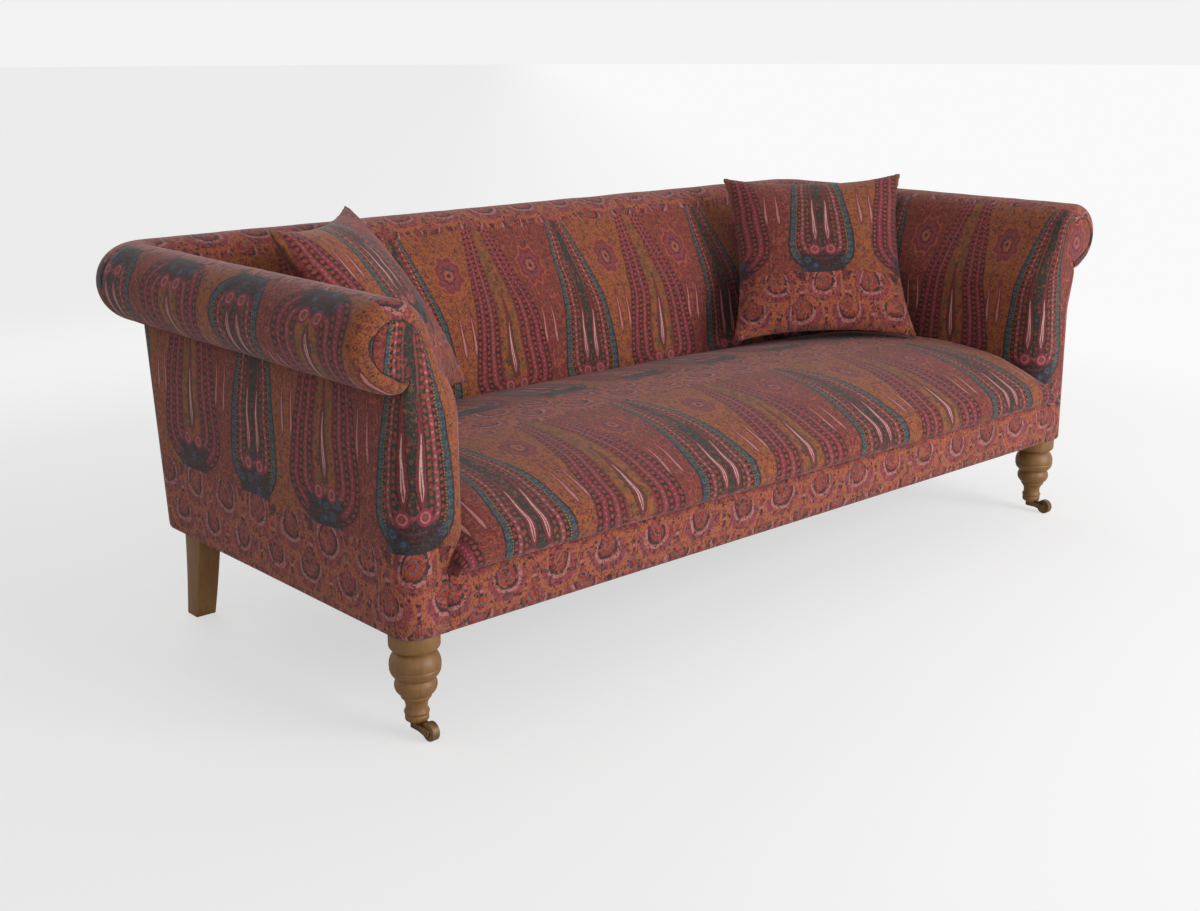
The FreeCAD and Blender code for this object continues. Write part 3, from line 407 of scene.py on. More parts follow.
    # weave, worn colour and fine twill
    grain = look.cloud(look.stretch(place, (1.0, 1.6, 1.0)), 620.0, 2.0, 0.6)
    blotch = look.cloud(place, 5.0, 2.0)
    yarns = look.maths("SINE", (look.split(place)[0] + look.split(place)[1] * 1.4) * (fullTurn / 0.0026))
    level = 0.90 + 0.704 * (grain - 0.5) + 0.06 * yarns + 0.30 * (blotch - 0.5)
    colour = look.stretch(colour, look.join(level, level, level))
    flecks = look.cloud(drawn, 190.0, 1.0)
    dusty = look.lay(colour, (
        ("black", fade(flecks, 0.54, 0.62) * 0.36),
        ("mustard", fade(flecks, 0.44, 0.36) * 0.22),
    ))
    bumps = grain * 0.6 + yarns * 0.35
    return look.finish(
        dusty, 0.86, bumps, 0.0005, 0.35, Sheen_Weight=0.12, Sheen_Roughness=0.6, Specular_IOR_Level=0.28
    )


def makeWood(name, light, dark, roughness=0.42, along=(1.0, 1.0, 0.09)):
    look = Look(name)
    place = look.ownPlace()
    stretched = look.stretch(place, along)
    streak = look.cloud(stretched, 210.0, 4.0, 0.62)
    rings = look.cloud(stretched, 46.0, 2.0, 0.5)
    pores = look.cloud(look.stretch(place, tuple(part if part < 1.0 else 3.2 for part in along)), 480.0, 1.0)
    mask = look.least(look.most(streak * 0.9 + rings * 0.7 - 0.32, 0.0), 1.0)
    colour = look.mix(dark, light, mask)
    colour = look.mix(colour, tuple(0.42 * part for part in dark[:3]) + (1.0,), look.fade(pores, 0.66, 0.76) * 0.55)
    rough = roughness + 0.16 * (streak - 0.5)
    return look.finish(colour, rough, streak * 0.6 + pores * 0.3, 0.0003, 0.35, Specular_IOR_Level=0.42)


def makeMetal(name, light, dark, roughness=0.38, metallic=1.0):
    look = Look(name)
    place = look.ownPlace()
    patches = look.cloud(place, 60.0, 3.0)
    scratches = look.cloud(look.stretch(place, (1.0, 1.0, 14.0)), 260.0, 2.0)
    colour = look.mix(dark, light, look.fade(patches, 0.34, 0.62))
    rough = roughness + 0.20 * (patches - 0.5) + 0.10 * (scratches - 0.5)
    return look.finish(colour, rough, scratches * 0.4 + patches * 0.4, 0.0002, 0.3, Metallic=metallic)


def makeWoven(name, light, dark, gap, lines=None):  # plain weave for hessian, webbing and the dust cover
    look = Look(name)
    place = look.ownPlace()
    x, y, z = look.split(place)
    turn = fullTurn / gap
    warp = look.maths("SINE", (x + z * 0.3) * turn)
    weft = look.maths("SINE", (y + z) * turn)
    threads = warp * weft * 0.5 + 0.5
    slub = look.cloud(place, 160.0, 3.0)
    colour = look.mix(dark, light, look.least(look.most(threads * 0.6 + slub * 0.7 - 0.2, 0.0), 1.0))
    if lines:
        colour = look.mix(colour, lines, look.fade(abs(z % 0.05 - 0.025), 0.0035, 0.0025) * 0.8)
    return look.finish(colour, 0.9, threads * 0.7 + slub * 0.4, 0.0006, 0.5, Specular_IOR_Level=0.2)


def makeFoam(name, light, dark):
    look = Look(name)
    place = look.ownPlace()
    fibres = look.cloud(look.stretch(place, (1.0, 1.6, 0.7)), 300.0, 3.0)
    tufts = look.cloud(place, 40.0, 2.0)
    colour = look.mix(dark, light, fibres * 0.6 + tufts * 0.4)
    return look.finish(colour, 0.95, fibres + tufts * 0.5, 0.001, 0.5, Specular_IOR_Level=0.15)


shawlCloth = makeShawlCloth()
legWood = makeWood("turnedWood", tint(158, 114, 66), tint(112, 76, 40))
looks = {
    "frameWood": makeWood("frameWood", tint(206, 174, 126), tint(170, 132, 86), 0.6, (0.09, 1.0, 1.0)),
    "steel": makeMetal("springSteel", tint(150, 150, 152), tint(96, 96, 100)),
    "castorBrown": makeMetal("castorBrown", tint(132, 98, 58), tint(96, 68, 38), 0.36, 0.45),
    "castorWheel": makeMetal("castorWheel", tint(128, 94, 54), tint(92, 64, 34), 0.44, 0.15),
    "hessian": makeWoven("hessian", tint(176, 146, 102), tint(118, 92, 58), 0.0030),
    "webbing": makeWoven("webbing", tint(168, 140, 98), tint(108, 82, 52), 0.0040, tint(70, 66, 60)),
    "padding": makeFoam("padding", tint(224, 216, 196), tint(186, 176, 152)),
    "dustCloth": makeWoven("dustCloth", tint(58, 56, 56), tint(34, 33, 34), 0.0022),
}
nodeLooks = {
    "castorBrown": ("castor_plate", "castor_horn", "castor_axle"),
    "castorWheel": ("castor_wheel",),
    "steel": ("seat_springs", "spring_clips", "leg_bolts", "castor_screws"),
    "hessian": ("seat_hessian",),
    "webbing": ("arm_webbing", "back_webbing"),
    "dustCloth": ("dust_cover",),
    "padding": (
        "seat_foam", "back_padding", "arm_padding", "arm_front_padding", "border_wadding", "cushion_pad",
    ),
}
for name, node in nodes.items():
    stem = name.removesuffix("_left").removesuffix("_right")
    chosen = legWood if stem in ("front_leg", "rear_leg") else looks["frameWood"]
    for key, stems in nodeLooks.items():
        if stem in stems:
            chosen = looks[key]
    if "cover" in stem and stem != "dust_cover" or stem in ("arm_facing", "front_border"):
        chosen = looks["padding"]
    for index in range(len(node.data.materials)):
        node.data.materials[index] = chosen
    if not node.data.materials:
        node.data.materials.append(chosen)
print("materials ready")


# mesh helpers
def newShell():
    bm = bmesh.new()
    bm.loops.layers.uv.new("cloth")
    return bm


def bendSheet(bm, columns, rows, place, heart):
    # A flat grid is bent to place(column, row), which gives a point and its place on the cloth. Faces look away
    # from heart(point), a point inside.
    uvs = bm.loops.layers.uv["cloth"]
    made = bmesh.ops.create_grid(bm, x_segments=columns, y_segments=rows, size=0.5)
    onCloth = {}
    for vert in made["verts"]:
        point, spot = place(round((vert.co.x + 0.5) * columns), round((vert.co.y + 0.5) * rows))
        vert.co = point
        onCloth[vert] = spot
    faces = list({face for vert in made["verts"] for face in vert.link_faces})
    for face in faces:
        face.smooth = True
        for loop in face.loops:
            loop[uvs].uv = onCloth[loop.vert]
    bm.normal_update()
    outward = 0.0
    for face in faces:
        middle = face.calc_center_median()
        outward += face.calc_area() * face.normal.dot(middle - heart(middle))
    if outward < 0.0:
        bmesh.ops.reverse_faces(bm, faces=faces)


def ruffle(point, depth, size=0.11):  # the slight unevenness of a stuffed cover
    return depth * (noise.noise(point / size) + 0.4 * noise.noise(point / (size * 0.37)))


def newMesh(name, bm):
    mesh = bpy.data.meshes.new(name)
    bm.to_mesh(mesh)
    bm.free()
    return mesh


def newObject(name, data):
    made = bpy.data.objects.new(name, data)
    bpy.context.scene.collection.objects.link(made)
    return made


def addPiece(name, bm, body, replaced, material, weld=0.0):
    if weld:
        bmesh.ops.remove_doubles(bm, verts=bm.verts, dist=weld)
    piece = newObject(name, newMesh(name, bm))
    piece.data.materials.append(material)
    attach(piece, body)
    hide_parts(*replaced)
    return piece


def thicken(piece, depth):
    wall = piece.modifiers.new("wall", "SOLIDIFY")
    wall.thickness = depth
    wall.offset = -1.0


def addCover(name, bm, replaced, body="sofa", weld=0.0, wall=shape["clothWall"]):
    piece = addPiece(name, bm, body, replaced, shawlCloth, weld)
    if wall:
        thicken(piece, wall)
    return piece


def easeIn(value, low, high):
    share = min(max((value - low) / (high - low), 0.0), 1.0)
    return share * share * (3.0 - 2.0 * share)


# the arms' section
def armStations():
    # Each station of the arm's section: kind, its share of the run, and how far the front edge is rounded there.
    crease, scroll, body = (shape[key] for key in ("creaseRound", "scrollRound", "bodyRound"))
    stops = [("roll", step / 44.0, crease + (scroll - crease) * easeIn(step / 44.0, 0.0, 0.16)) for step in range(45)]
    stops += [("slope", step / 7.0, scroll + (body - scroll) * (step / 7.0)) for step in range(1, 8)]
    stops += [("fillet", step / 6.0, body) for step in range(1, 7)]
    return stops + [("wall", step / 9.0, body) for step in range(1, 10)]


armStops = armStations()
armLean = radians(shape["armLean"])
leanAngle = pi - armLean
slopeTop = (armRollX + rollRadius * cos(leanAngle), rollHeight + rollRadius * sin(leanAngle))
filletX = shape["armInside"] + armFillet
slopeLength = (slopeTop[0] - filletX - armFillet * cos(leanAngle)) / sin(armLean)
slopeLow = (slopeTop[0] - slopeLength * sin(armLean), slopeTop[1] - slopeLength * cos(armLean))
filletZ = slopeLow[1] - armFillet * sin(leanAngle)
wallLow = 0.300
filletArc = armFillet * armLean


def creaseAngle(cut):
    return -acos((shape["armCrease"][0] - cut - armRollX) / (rollRadius - cut))


def armPoint(stop, share, extra=0.0):
    # Point of the section, set in by the station's rounding, with its height up the cloth.
    kind, part, rounding = stop
    cut = share * rounding + extra
    if kind == "roll":
        start = creaseAngle(share * creaseRound + extra)
        angle = start + part * (leanAngle - start)
        reach = rollRadius - cut
        height = filletZ + filletArc + slopeLength + (leanAngle - angle) * rollRadius
        return armRollX + reach * cos(angle), rollHeight + reach * sin(angle), height
    if kind == "slope":
        x = slopeTop[0] + (slopeLow[0] - slopeTop[0]) * part - cut * cos(leanAngle)
        z = slopeTop[1] + (slopeLow[1] - slopeTop[1]) * part - cut * sin(leanAngle)
        return x, z, filletZ + filletArc + slopeLength * (1.0 - part)
    if kind == "fillet":
        angle = leanAngle + (pi - leanAngle) * part
        reach = armFillet - cut
        x, z = filletX + reach * cos(angle), filletZ + reach * sin(angle)
        return x, z, filletZ + filletArc * (1.0 - part)
    z = filletZ + (wallLow - filletZ) * part
    return shape["armInside"] + cut, z, z


def frontCloth(x):  # place along the cloth on the arm's flat front
    return -0.5314 - (x - 0.910)


turnSteps = [radians(angle) for angle in (90, 82, 74, 65, 56, 47, 38, 29, 20, 10, 0)]


def seamWeight(stop):  # 1 where the scroll's seam runs, 0 where the cloth turns the corner in one piece
    return 1.0 - easeIn(stop[1], 0.90, 1.0) if stop[0] == "roll" else 0.0


# rows from the seam or the corner's line at the front to the back of the arm
armRows = [("flat", 0.002), ("flat", 0.0)] + [("turn", angle) for angle in turnSteps[1:]]
armRows += [("run", step / 58.0) for step in range(1, 59)]


def makeInsideArm(side, word):
    bm = newShell()
    shift = armFan[side]

    def place(i, j):
        stop = armStops[i]
        mode, value = armRows[j]
        rounding, weight = stop[2], seamWeight(stop)
        if mode == "flat":
            x, z, rise = armPoint(stop, 1.0, value)
            y = front + 1.1 * weight * value
            across = -0.5 - 0.5708 * rounding - value
            blend = 1.0
        elif mode == "turn":
            x, z, rise = armPoint(stop, 1.0 - cos(value))
            y = front + rounding * (1.0 - sin(value))
            across = front + rounding - rounding * value
            blend = (1.0 - cos(value)) ** 2
        else:
            x, z, rise = armPoint(stop, 0.0)
            start = front + rounding
            y = start + (shape["cornerY"] - start) * value
            across = y
            blend = 0.0
        blend *= 1.0 - weight
        planar = frontCloth(x)
        across += (planar - across) * blend
        rise += (z - rise) * blend
        up = rise - pattern["bandTop"]
        if side < 0:
            up += 0.095 * max(weight, easeIn(y, -0.47, -0.20))
        point = Vector((x, y, z))
        if mode == "run":
            lift = ruffle(point, 0.0011) * easeIn(value, 0.0, 0.05)
            if stop[0] == "wall":
                point.x -= lift
            else:
                point += lift * (Vector((x, 0, z)) - Vector((armRollX, 0, rollHeight))).normalized()
        point.x *= side
        return point, (across - shift, up)

    heart = lambda middle: Vector((0.972 * side, middle.y + 0.02, min(middle.z, 0.66)))
    bendSheet(bm, len(armStops) - 1, len(armRows) - 1, place, heart)
    addCover("insideArm." + word, bm, ["inside_arm_cover_" + word, "arm_padding_" + word])


def outerCut(part):  # rounding of the outer front corner, less near the crease
    return shape["outerRound"] + (creaseRound - shape["outerRound"]) * easeIn(part, 0.72, 1.0)


def outerPoint(part, share, extra=0.0):
    start = creaseAngle(share * creaseRound + extra)
    top = rollHeight + (rollRadius - share * creaseRound - extra) * sin(start)
    z = bottom + (top - bottom) * part
    lean = (shape["armFoot"] - shape["armCrease"][0]) / (shape["armCrease"][1] - bottom)
    x = shape["armFoot"] - lean * (z - bottom)
    return x - share * outerCut(part) - extra, z


outerRows = [step / 30.0 for step in range(31)]
underTurn = [(0.026, 0.0015), (0.012, 0.0), (0.006, 0.0006), (0.0022, 0.0028)]  # hem under the frame: inset, lift
hemRows = len(underTurn) + len(outerRows)
hemLift = 0.007


def hemRow(j):  # inset, lift and share of the height of one row of an outside cover
    if j < len(underTurn):
        return *underTurn[j], 0.0
    part = outerRows[j - len(underTurn)]
    return 0.0, hemLift * (part == 0.0), part


def makeOutsideArm(side, word):
    bm = newShell()
    shift = armFan[side]
    columns = [("flat", 0.002), ("flat", 0.0)] + [("turn", angle) for angle in turnSteps[1:]]
    columns += [("run", step / 46.0) for step in range(1, 47)]
    columns += [("corner", radians(angle)) for angle in range(9, 91, 9)] + [("back", 0.010)]

    def place(i, j):
        mode, value = columns[i]
        inset, lift, part = hemRow(j)
        cut = outerCut(part)
        cornerY = shape["cornerLow"] + (shape["cornerHigh"] - shape["cornerLow"]) * part
        facing = {"flat": pi / 2.0, "turn": value, "run": 0.0, "corner": -value, "back": -pi / 2.0}[mode]
        away = Vector((-cos(facing), sin(facing), 0.0))
        edge = outerPoint(part, 1.0)[0]
        if mode == "flat":
            x, z = outerPoint(part, 1.0, value)
            y = front
            across = frontCloth(x)
        elif mode == "turn":
            x, z = outerPoint(part, 1.0 - cos(value))
            y = front + cut * (1.0 - sin(value))
            across = frontCloth(edge) - cut * (pi / 2.0 - value)
        else:
            x, z = outerPoint(part, 0.0)
            start = front + cut
            corner = frontCloth(edge) - cut * pi / 2.0
            if mode == "run":
                y = start + (cornerY - start) * value
                across = corner - (y - start)
            else:
                radius = shape["cornerRound"]
                x += radius * (cos(facing) - 1.0)
                y = cornerY - radius * sin(facing)
                across = corner - (cornerY - start) + radius * facing
                if mode == "back":
                    x -= value
                    across -= value
        z += lift
        up = z - pattern["bandTop"] - inset
        point = Vector((x, y, z)) + away * inset
        if mode == "run":
            point.x += (ruffle(point, 0.0009) + 0.0035 * sin(pi * part)) * sin(pi * value)
        if part == 1.0:
            point += away * 0.004 + Vector((0.0, 0.0, 0.006))
        point.x *= side
        return point, (across - shift, up)

    heart = lambda middle: Vector((0.90 * side, min(max(middle.y, -0.43), 0.32), max(middle.z, 0.23)))
    bendSheet(bm, len(columns) - 1, hemRows - 1, place, heart)
    addCover("outsideArm." + word, bm, ["outside_arm_cover_" + word])


def makeFacing(side, word):
    bm = newShell()
    shift = armFan[side]
    path = []  # outline of the flat front from the seat-side foot, over the scroll, to the outer foot
    for z in (bottom, 0.245):
        path.append((0.0, lambda extra, z=z: (shape["armInside"] + shape["bodyRound"] + extra, z)))
    for stop in reversed(armStops):
        path.append((seamWeight(stop), lambda extra, stop=stop: armPoint(stop, 1.0, extra)[:2]))
    for part in reversed(outerRows[:-1]):
        path.append((0.0, lambda extra, part=part: outerPoint(part, 1.0, extra)))
    last = len(path) - 1
    rings = [(0.0022, 0.0024), (0.0036, 0.0008), (0.0060, -0.0006)]

    def place(i, j):
        weight, point = path[i]
        inset, sink = rings[j]
        x, z = point(inset)
        if i in (0, last):
            z = bottom + 0.003
        y = front + sink * weight
        return Vector((x * side, y, z)), (frontCloth(x) - shift, z - pattern["bandTop"])

    heart = lambda middle: Vector((middle.x, 0.0, middle.z))
    bendSheet(bm, last, len(rings) - 1, place, heart)
    rimPoints = [place(i, len(rings) - 1)[0] for i in range(last + 1)]
    rim = [min(bm.verts, key=lambda vert: (vert.co - point).length_squared) for point in rimPoints]
    edges = [edge for edge in bm.edges if edge.is_boundary and edge.verts[0] in rim and edge.verts[1] in rim]
    closing = bm.edges.get((rim[0], rim[-1])) or bm.edges.new((rim[0], rim[-1]))
    filled = bmesh.ops.contextual_create(bm, geom=list(set(edges + [closing])))
    uvs = bm.loops.layers.uv["cloth"]
    for face in filled["faces"]:
        face.smooth = True
        face.normal_update()
        if face.normal.y > 0.0:
            face.normal_flip()
        for loop in face.loops:
            spot = loop.vert.co
            loop[uvs].uv = (frontCloth(abs(spot.x)) - shift, spot.z - pattern["bandTop"])
    addCover("armFacing." + word, bm, ["arm_facing_" + word, "arm_front_padding_" + word])


sides = {1: "right", -1: "left"}
for side, word in sides.items():
    makeInsideArm(side, word)
    makeOutsideArm(side, word)
    makeFacing(side, word)
print("arms covered")


# the back
def arcPoints(centre, radius, start, end, steps, first=1):
    turns = [start + (end - start) * step / steps for step in range(first, steps + 1)]
    return [(centre[0] + radius * cos(turn), centre[1] + radius * sin(turn)) for turn in turns]


def linePoints(start, end, steps):
    shares = [step / steps for step in range(1, steps + 1)]
    return [(start[0] + (end[0] - start[0]) * part, start[1] + (end[1] - start[1]) * part) for part in shares]


def backStations():
    lean = radians(180.0 - shape["backLean"])
    start = -acos((shape["backCrease"][0] - backRollY) / rollRadius)
    # the back's face from the seat up: a raked line, a hollow curve, a steeper line, then the roll
    rake = radians(shape["backRake"])
    slope = radians(shape["backLean"])
    faceY, faceZ = shape["backFace"]
    top = (backRollY + rollRadius * cos(lean), rollHeight + rollRadius * sin(lean))
    # where the raked line and the sloping line cross
    gap = (top[0] - faceY, top[1] - faceZ)
    rakeWay = (sin(rake), cos(rake))
    slopeWay = (sin(slope), cos(slope))
    cross = rakeWay[0] * slopeWay[1] - rakeWay[1] * slopeWay[0]
    reach = (gap[0] * slopeWay[1] - gap[1] * slopeWay[0]) / cross
    meet = (faceY + reach * rakeWay[0], faceZ + reach * rakeWay[1])
    trim = shape["backFillet"] * tan((slope - rake) / 2.0)
    lowEnd = (meet[0] - trim * rakeWay[0], meet[1] - trim * rakeWay[1])
    highEnd = (meet[0] + trim * slopeWay[0], meet[1] + trim * slopeWay[1])
    centre = (lowEnd[0] + shape["backFillet"] * rakeWay[1], lowEnd[1] - shape["backFillet"] * rakeWay[0])
    foot = (lowEnd[0] - (lowEnd[1] - shape["backLow"]) * tan(rake), shape["backLow"])
    points = arcPoints((backRollY, rollHeight), rollRadius, start, lean, 44, first=0)
    points += linePoints(top, highEnd, 4)
    points += arcPoints(centre, shape["backFillet"], pi - slope, pi - rake, 6)
    points += linePoints(lowEnd, foot, 11)
    rises = [0.0]
    for index in range(len(points) - 1, 0, -1):
        rises.append(rises[-1] + dist(points[index], points[index - 1]))
    rises.reverse()
    return [(y, z, rise) for (y, z), rise in zip(points, rises)]


backStops = backStations()


def makeInsideBack():
    bm = newShell()
    count, cornerCount = 150, 20
    cornerX, cornerY = shape["cornerX"], shape["cornerY"]
    core = Vector((0, backRollY + 0.03, rollHeight - 0.02))

    def place(i, j):
        y, z, rise = backStops[i]
        x = cornerX * (2.0 * j / count - 1.0)
        point = Vector((x, y, z))
        point += ruffle(point, 0.0012) * easeIn(cornerX - abs(x), 0.0, 0.05) * (Vector((0, y, z)) - core).normalized()
        return point, (x - pattern["backShift"], rise + pattern["backRise"])

    heart = lambda middle: Vector((middle.x, 0.46, min(middle.z, 0.66)))
    bendSheet(bm, len(backStops) - 1, count, place, heart)
    # the roll turns the corner about an upright axis
    kept = [stop for stop in backStops if stop[0] > cornerY]
    pole = rollHeight + sqrt(rollRadius ** 2 - (backRollY - cornerY) ** 2)
    kept.append((cornerY + 0.0004, pole, kept[-1][2] - dist(kept[-1][:2], (cornerY, pole))))
    for side in sides:

        def turn(i, j):
            y, z, rise = kept[i]
            angle = pi / 2.0 * (1.0 - j / cornerCount)
            across = cornerX + 0.10 * (pi / 2.0 - angle)
            x = cornerX + (y - cornerY) * cos(angle)
            point = Vector((x * side, cornerY + (y - cornerY) * sin(angle), z))
            return point, (across * side - pattern["backShift"], rise + pattern["backRise"])

        middle = Vector(((cornerX + 0.035) * side, cornerY + 0.035, rollHeight))
        bendSheet(bm, len(kept) - 1, cornerCount, turn, lambda spot: middle)
    addCover("insideBack", bm, ["inside_back_cover", "back_padding"], weld=0.00002)


def makeOutsideBack():
    bm = newShell()
    count = 80

    def place(i, j):
        inset, lift, part = hemRow(j)
        z = bottom + (shape["backCrease"][1] - bottom) * part + lift
        y = shape["backFoot"] + (shape["backCrease"][0] - shape["backFoot"]) * part
        x = (0.943 - 0.009 * part) * (2.0 * i / count - 1.0)
        edge = sin(pi * i / count)
        point = Vector((x, y - inset, z))
        point.y += (0.0009 * noise.noise(point / 0.12) + 0.004 * edge * sin(pi * part)) * (edge > 0.01)
        if part == 1.0:
            point += Vector((0.0, -0.004, 0.006))
        return point, (-x - pattern["backShift"], z - pattern["bandTop"] - inset)

    heart = lambda middle: Vector((middle.x, 0.2, max(middle.z, 0.23)))
    bendSheet(bm, count, hemRows - 1, place, heart)
    addCover("outsideBack", bm, ["outside_back_cover"])


makeInsideBack()
makeOutsideBack()
print("back covered")


# the seat and the border
seat = dict(
    profile=[
        (-0.510, 0.298), (-0.524, 0.304), (-0.529, 0.314), (-0.530, 0.322), (-0.529, 0.330), (-0.5235, 0.344),
        (-0.5145, 0.3578), (-0.503, 0.365), (-0.480, 0.377), (-0.456, 0.388), (-0.428, 0.398), (-0.399, 0.406),
        (-0.363, 0.412), (-0.327, 0.416), (-0.252, 0.422), (-0.158, 0.421), (-0.051, 0.416), (0.084, 0.399),
        (0.250, 0.362),
    ],
    crown=0.012,
    earStart=0.800,
    earEnd=0.9135,
)


def smoothLine(points, spacing):
    # A curve through the points, read at even steps.
    line = bpy.data.curves.new("line", "CURVE")
    line.dimensions = "3D"
    line.resolution_u = 12
    spline = line.splines.new("BEZIER")
    spline.bezier_points.add(len(points) - 1)
    for knot, (y, z) in zip(spline.bezier_points, points):
        knot.co = (0.0, y, z)
        knot.handle_left_type = knot.handle_right_type = "AUTO"
    holder = bpy.data.objects.new("line", line)
    mesh = bpy.data.meshes.new_from_object(holder)
    fine = [Vector(vert.co[1:]) for vert in mesh.vertices]
    bpy.data.objects.remove(holder)
    bpy.data.curves.remove(line)
    bpy.data.meshes.remove(mesh)
    lengths = [0.0]
    for first, second in zip(fine, fine[1:]):
        lengths.append(lengths[-1] + (second - first).length)
    count = round(lengths[-1] / spacing)
    result, at = [], 0
    for step in range(count + 1):
        goal = lengths[-1] * step / count
        while at < len(fine) - 2 and lengths[at + 1] < goal:
            at += 1
        part = (goal - lengths[at]) / max(lengths[at + 1] - lengths[at], 1e-9)
        spot = fine[at].lerp(fine[at + 1], part)
        result.append((spot.x, spot.y, goal))
    return result


def makeSeat():
    bm = newShell()
    line = smoothLine(seat["profile"], 0.010)
    half = seat["earEnd"]
    count = 184

    def place(i, j):
        y, z, run = line[i]
        x = half * (2.0 * j / count - 1.0)
        reach = abs(x)
        crown = seat["crown"] * (1.0 - (min(reach, 0.855) / 0.855) ** 2) * easeIn(y, -0.53, -0.30)
        ear = min(max((reach - seat["earStart"]) / (seat["earEnd"] - seat["earStart"]), 0.0), 1.0)
        drop = 1.0 - sqrt(max(1.0 - ear ** 2.1, 0.0))
        forward = 1.0 - easeIn(y, -0.475, -0.415)
        z = shape["borderTop"] + (z + crown - shape["borderTop"]) * (1.0 - drop * forward)
        z -= 0.010 * easeIn(reach, 0.830, 0.8547) * (1.0 - forward)
        if reach < 0.83:
            z += ruffle(Vector((x, y, 0.4)), 0.0014, 0.13) * easeIn(y, -0.52, -0.45)
        return Vector((x, y, z)), (x - pattern["seatShift"], 0.05 + run)

    heart = lambda middle: Vector((middle.x, max(middle.y, -0.40), 0.20))
    bendSheet(bm, len(line) - 1, count, place, heart)
    addCover("seatCover", bm, ["seat_cover", "seat_foam"])


def makeBorder():
    bm = newShell()
    top, low = shape["borderTop"], bottom
    rows = [
        (0.030, 0.0015), (0.014, 0.0), (0.006, 0.0008), (0.001, 0.004), (-0.0012, 0.011), (-0.0025, 0.024),
        (-0.0034, 0.042), (-0.0036, 0.060), (-0.0030, 0.078), (-0.0018, 0.092), (0.0002, 0.101), (0.0040, 0.1062),
        (0.010, 0.1078), (0.022, 0.1076),
    ]
    rises = [0.0]
    for first, second in zip(rows, rows[1:]):
        rises.append(rises[-1] + dist(first, second))
    count = 150

    def place(i, j):
        inset, lift = rows[i]
        x = shape["borderEnd"] * (2.0 * j / count - 1.0)
        point = Vector((x, front + inset, low + lift))
        calm = easeIn(shape["borderEnd"] - abs(x), 0.0, 0.02)
        if 3 < i < 11:
            point.y -= ruffle(point, 0.0008, 0.08) * calm
        else:
            calm = 1.0
        point.y += 0.0036 * (1.0 - calm) * (3 < i < 11)
        return point, (x - pattern["seatShift"], rises[i] - 0.155 - 0.036)

    heart = lambda middle: Vector((middle.x, front + 0.05, (top + low) / 2.0))
    bendSheet(bm, len(rows) - 1, count, place, heart)
    addCover("frontBorder", bm, ["front_border", "border_wadding"])


makeSeat()
makeBorder()
print("seat and border covered")


# loose cushions
cushion = dict(
    side=0.480,
    hollow=0.030,
    fill=0.080,
    cap=0.016,
    rightPose=(42.0, 34.0, 1.6, 0.6970, 0.0665, 0.6160),
    leftPose=(39.5, 34.0, 0.5, 0.6120, 0.1400, 0.6196),
    fabric=dict(
        quality=5, mass=0.25, tension_stiffness=12.0, compression_stiffness=12.0, shear_stiffness=4.0,
        bending_stiffness=0.6, use_pressure=True, uniform_pressure_force=4.0,
    ),
)


def cushionPlace(pose, mirror):
    turn, lean, tilt = (radians(angle) for angle in pose[:3])
    away = Vector((sin(turn), cos(turn), 0.0))
    level = Vector((cos(turn), -sin(turn), 0.0))
    rise = Vector((0.0, 0.0, cos(lean))) + away * sin(lean)
    across = level * cos(tilt) + rise * sin(tilt)
    up = rise * cos(tilt) - level * sin(tilt)
    place = Matrix((across, up, across.cross(up))).transposed().to_4x4()
    place.translation = Vector(pose[3:])
    if mirror:
        place = Matrix.Diagonal((-1.0, 1.0, 1.0, 1.0)) @ place
    return place


def cushionBlank():
    # Two crowned squares that meet at a pointed rim, drawn in between the corners.
    bm = newShell()
    half = cushion["side"] / 2.0 - 0.004
    count = 44

    def place(i, j, face):
        a, b = 2.0 * i / count - 1.0, 2.0 * j / count - 1.0
        a = copysign(abs(a) ** 0.86, a)
        b = copysign(abs(b) ** 0.86, b)
        x = a * (half - cushion["hollow"] * (1.0 - abs(b) ** 2.4) * abs(a))
        y = b * (half - cushion["hollow"] * (1.0 - abs(a) ** 2.4) * abs(b))
        plump = max((1.0 - a * a) * (1.0 - b * b), 0.0) ** 0.55
        thin = 0.006 * (1.0 - max(abs(a), abs(b)) ** 8)
        return Vector((x, y, face * ((cushion["fill"] - 0.014) * plump + thin))), (x, y)

    heart = lambda middle: Vector((middle.x, middle.y, 0.0))
    for face in (1, -1):
        bendSheet(bm, count, count, lambda i, j: place(i, j, face), heart)
    bmesh.ops.remove_doubles(bm, verts=bm.verts, dist=0.0004)
    bmesh.ops.recalc_face_normals(bm, faces=bm.faces)
    return newMesh("cushionBlank", bm)


def shownMesh(holder):  # the object's mesh with its modifiers applied
    return bpy.data.meshes.new_from_object(holder.evaluated_get(bpy.context.evaluated_depsgraph_get()))


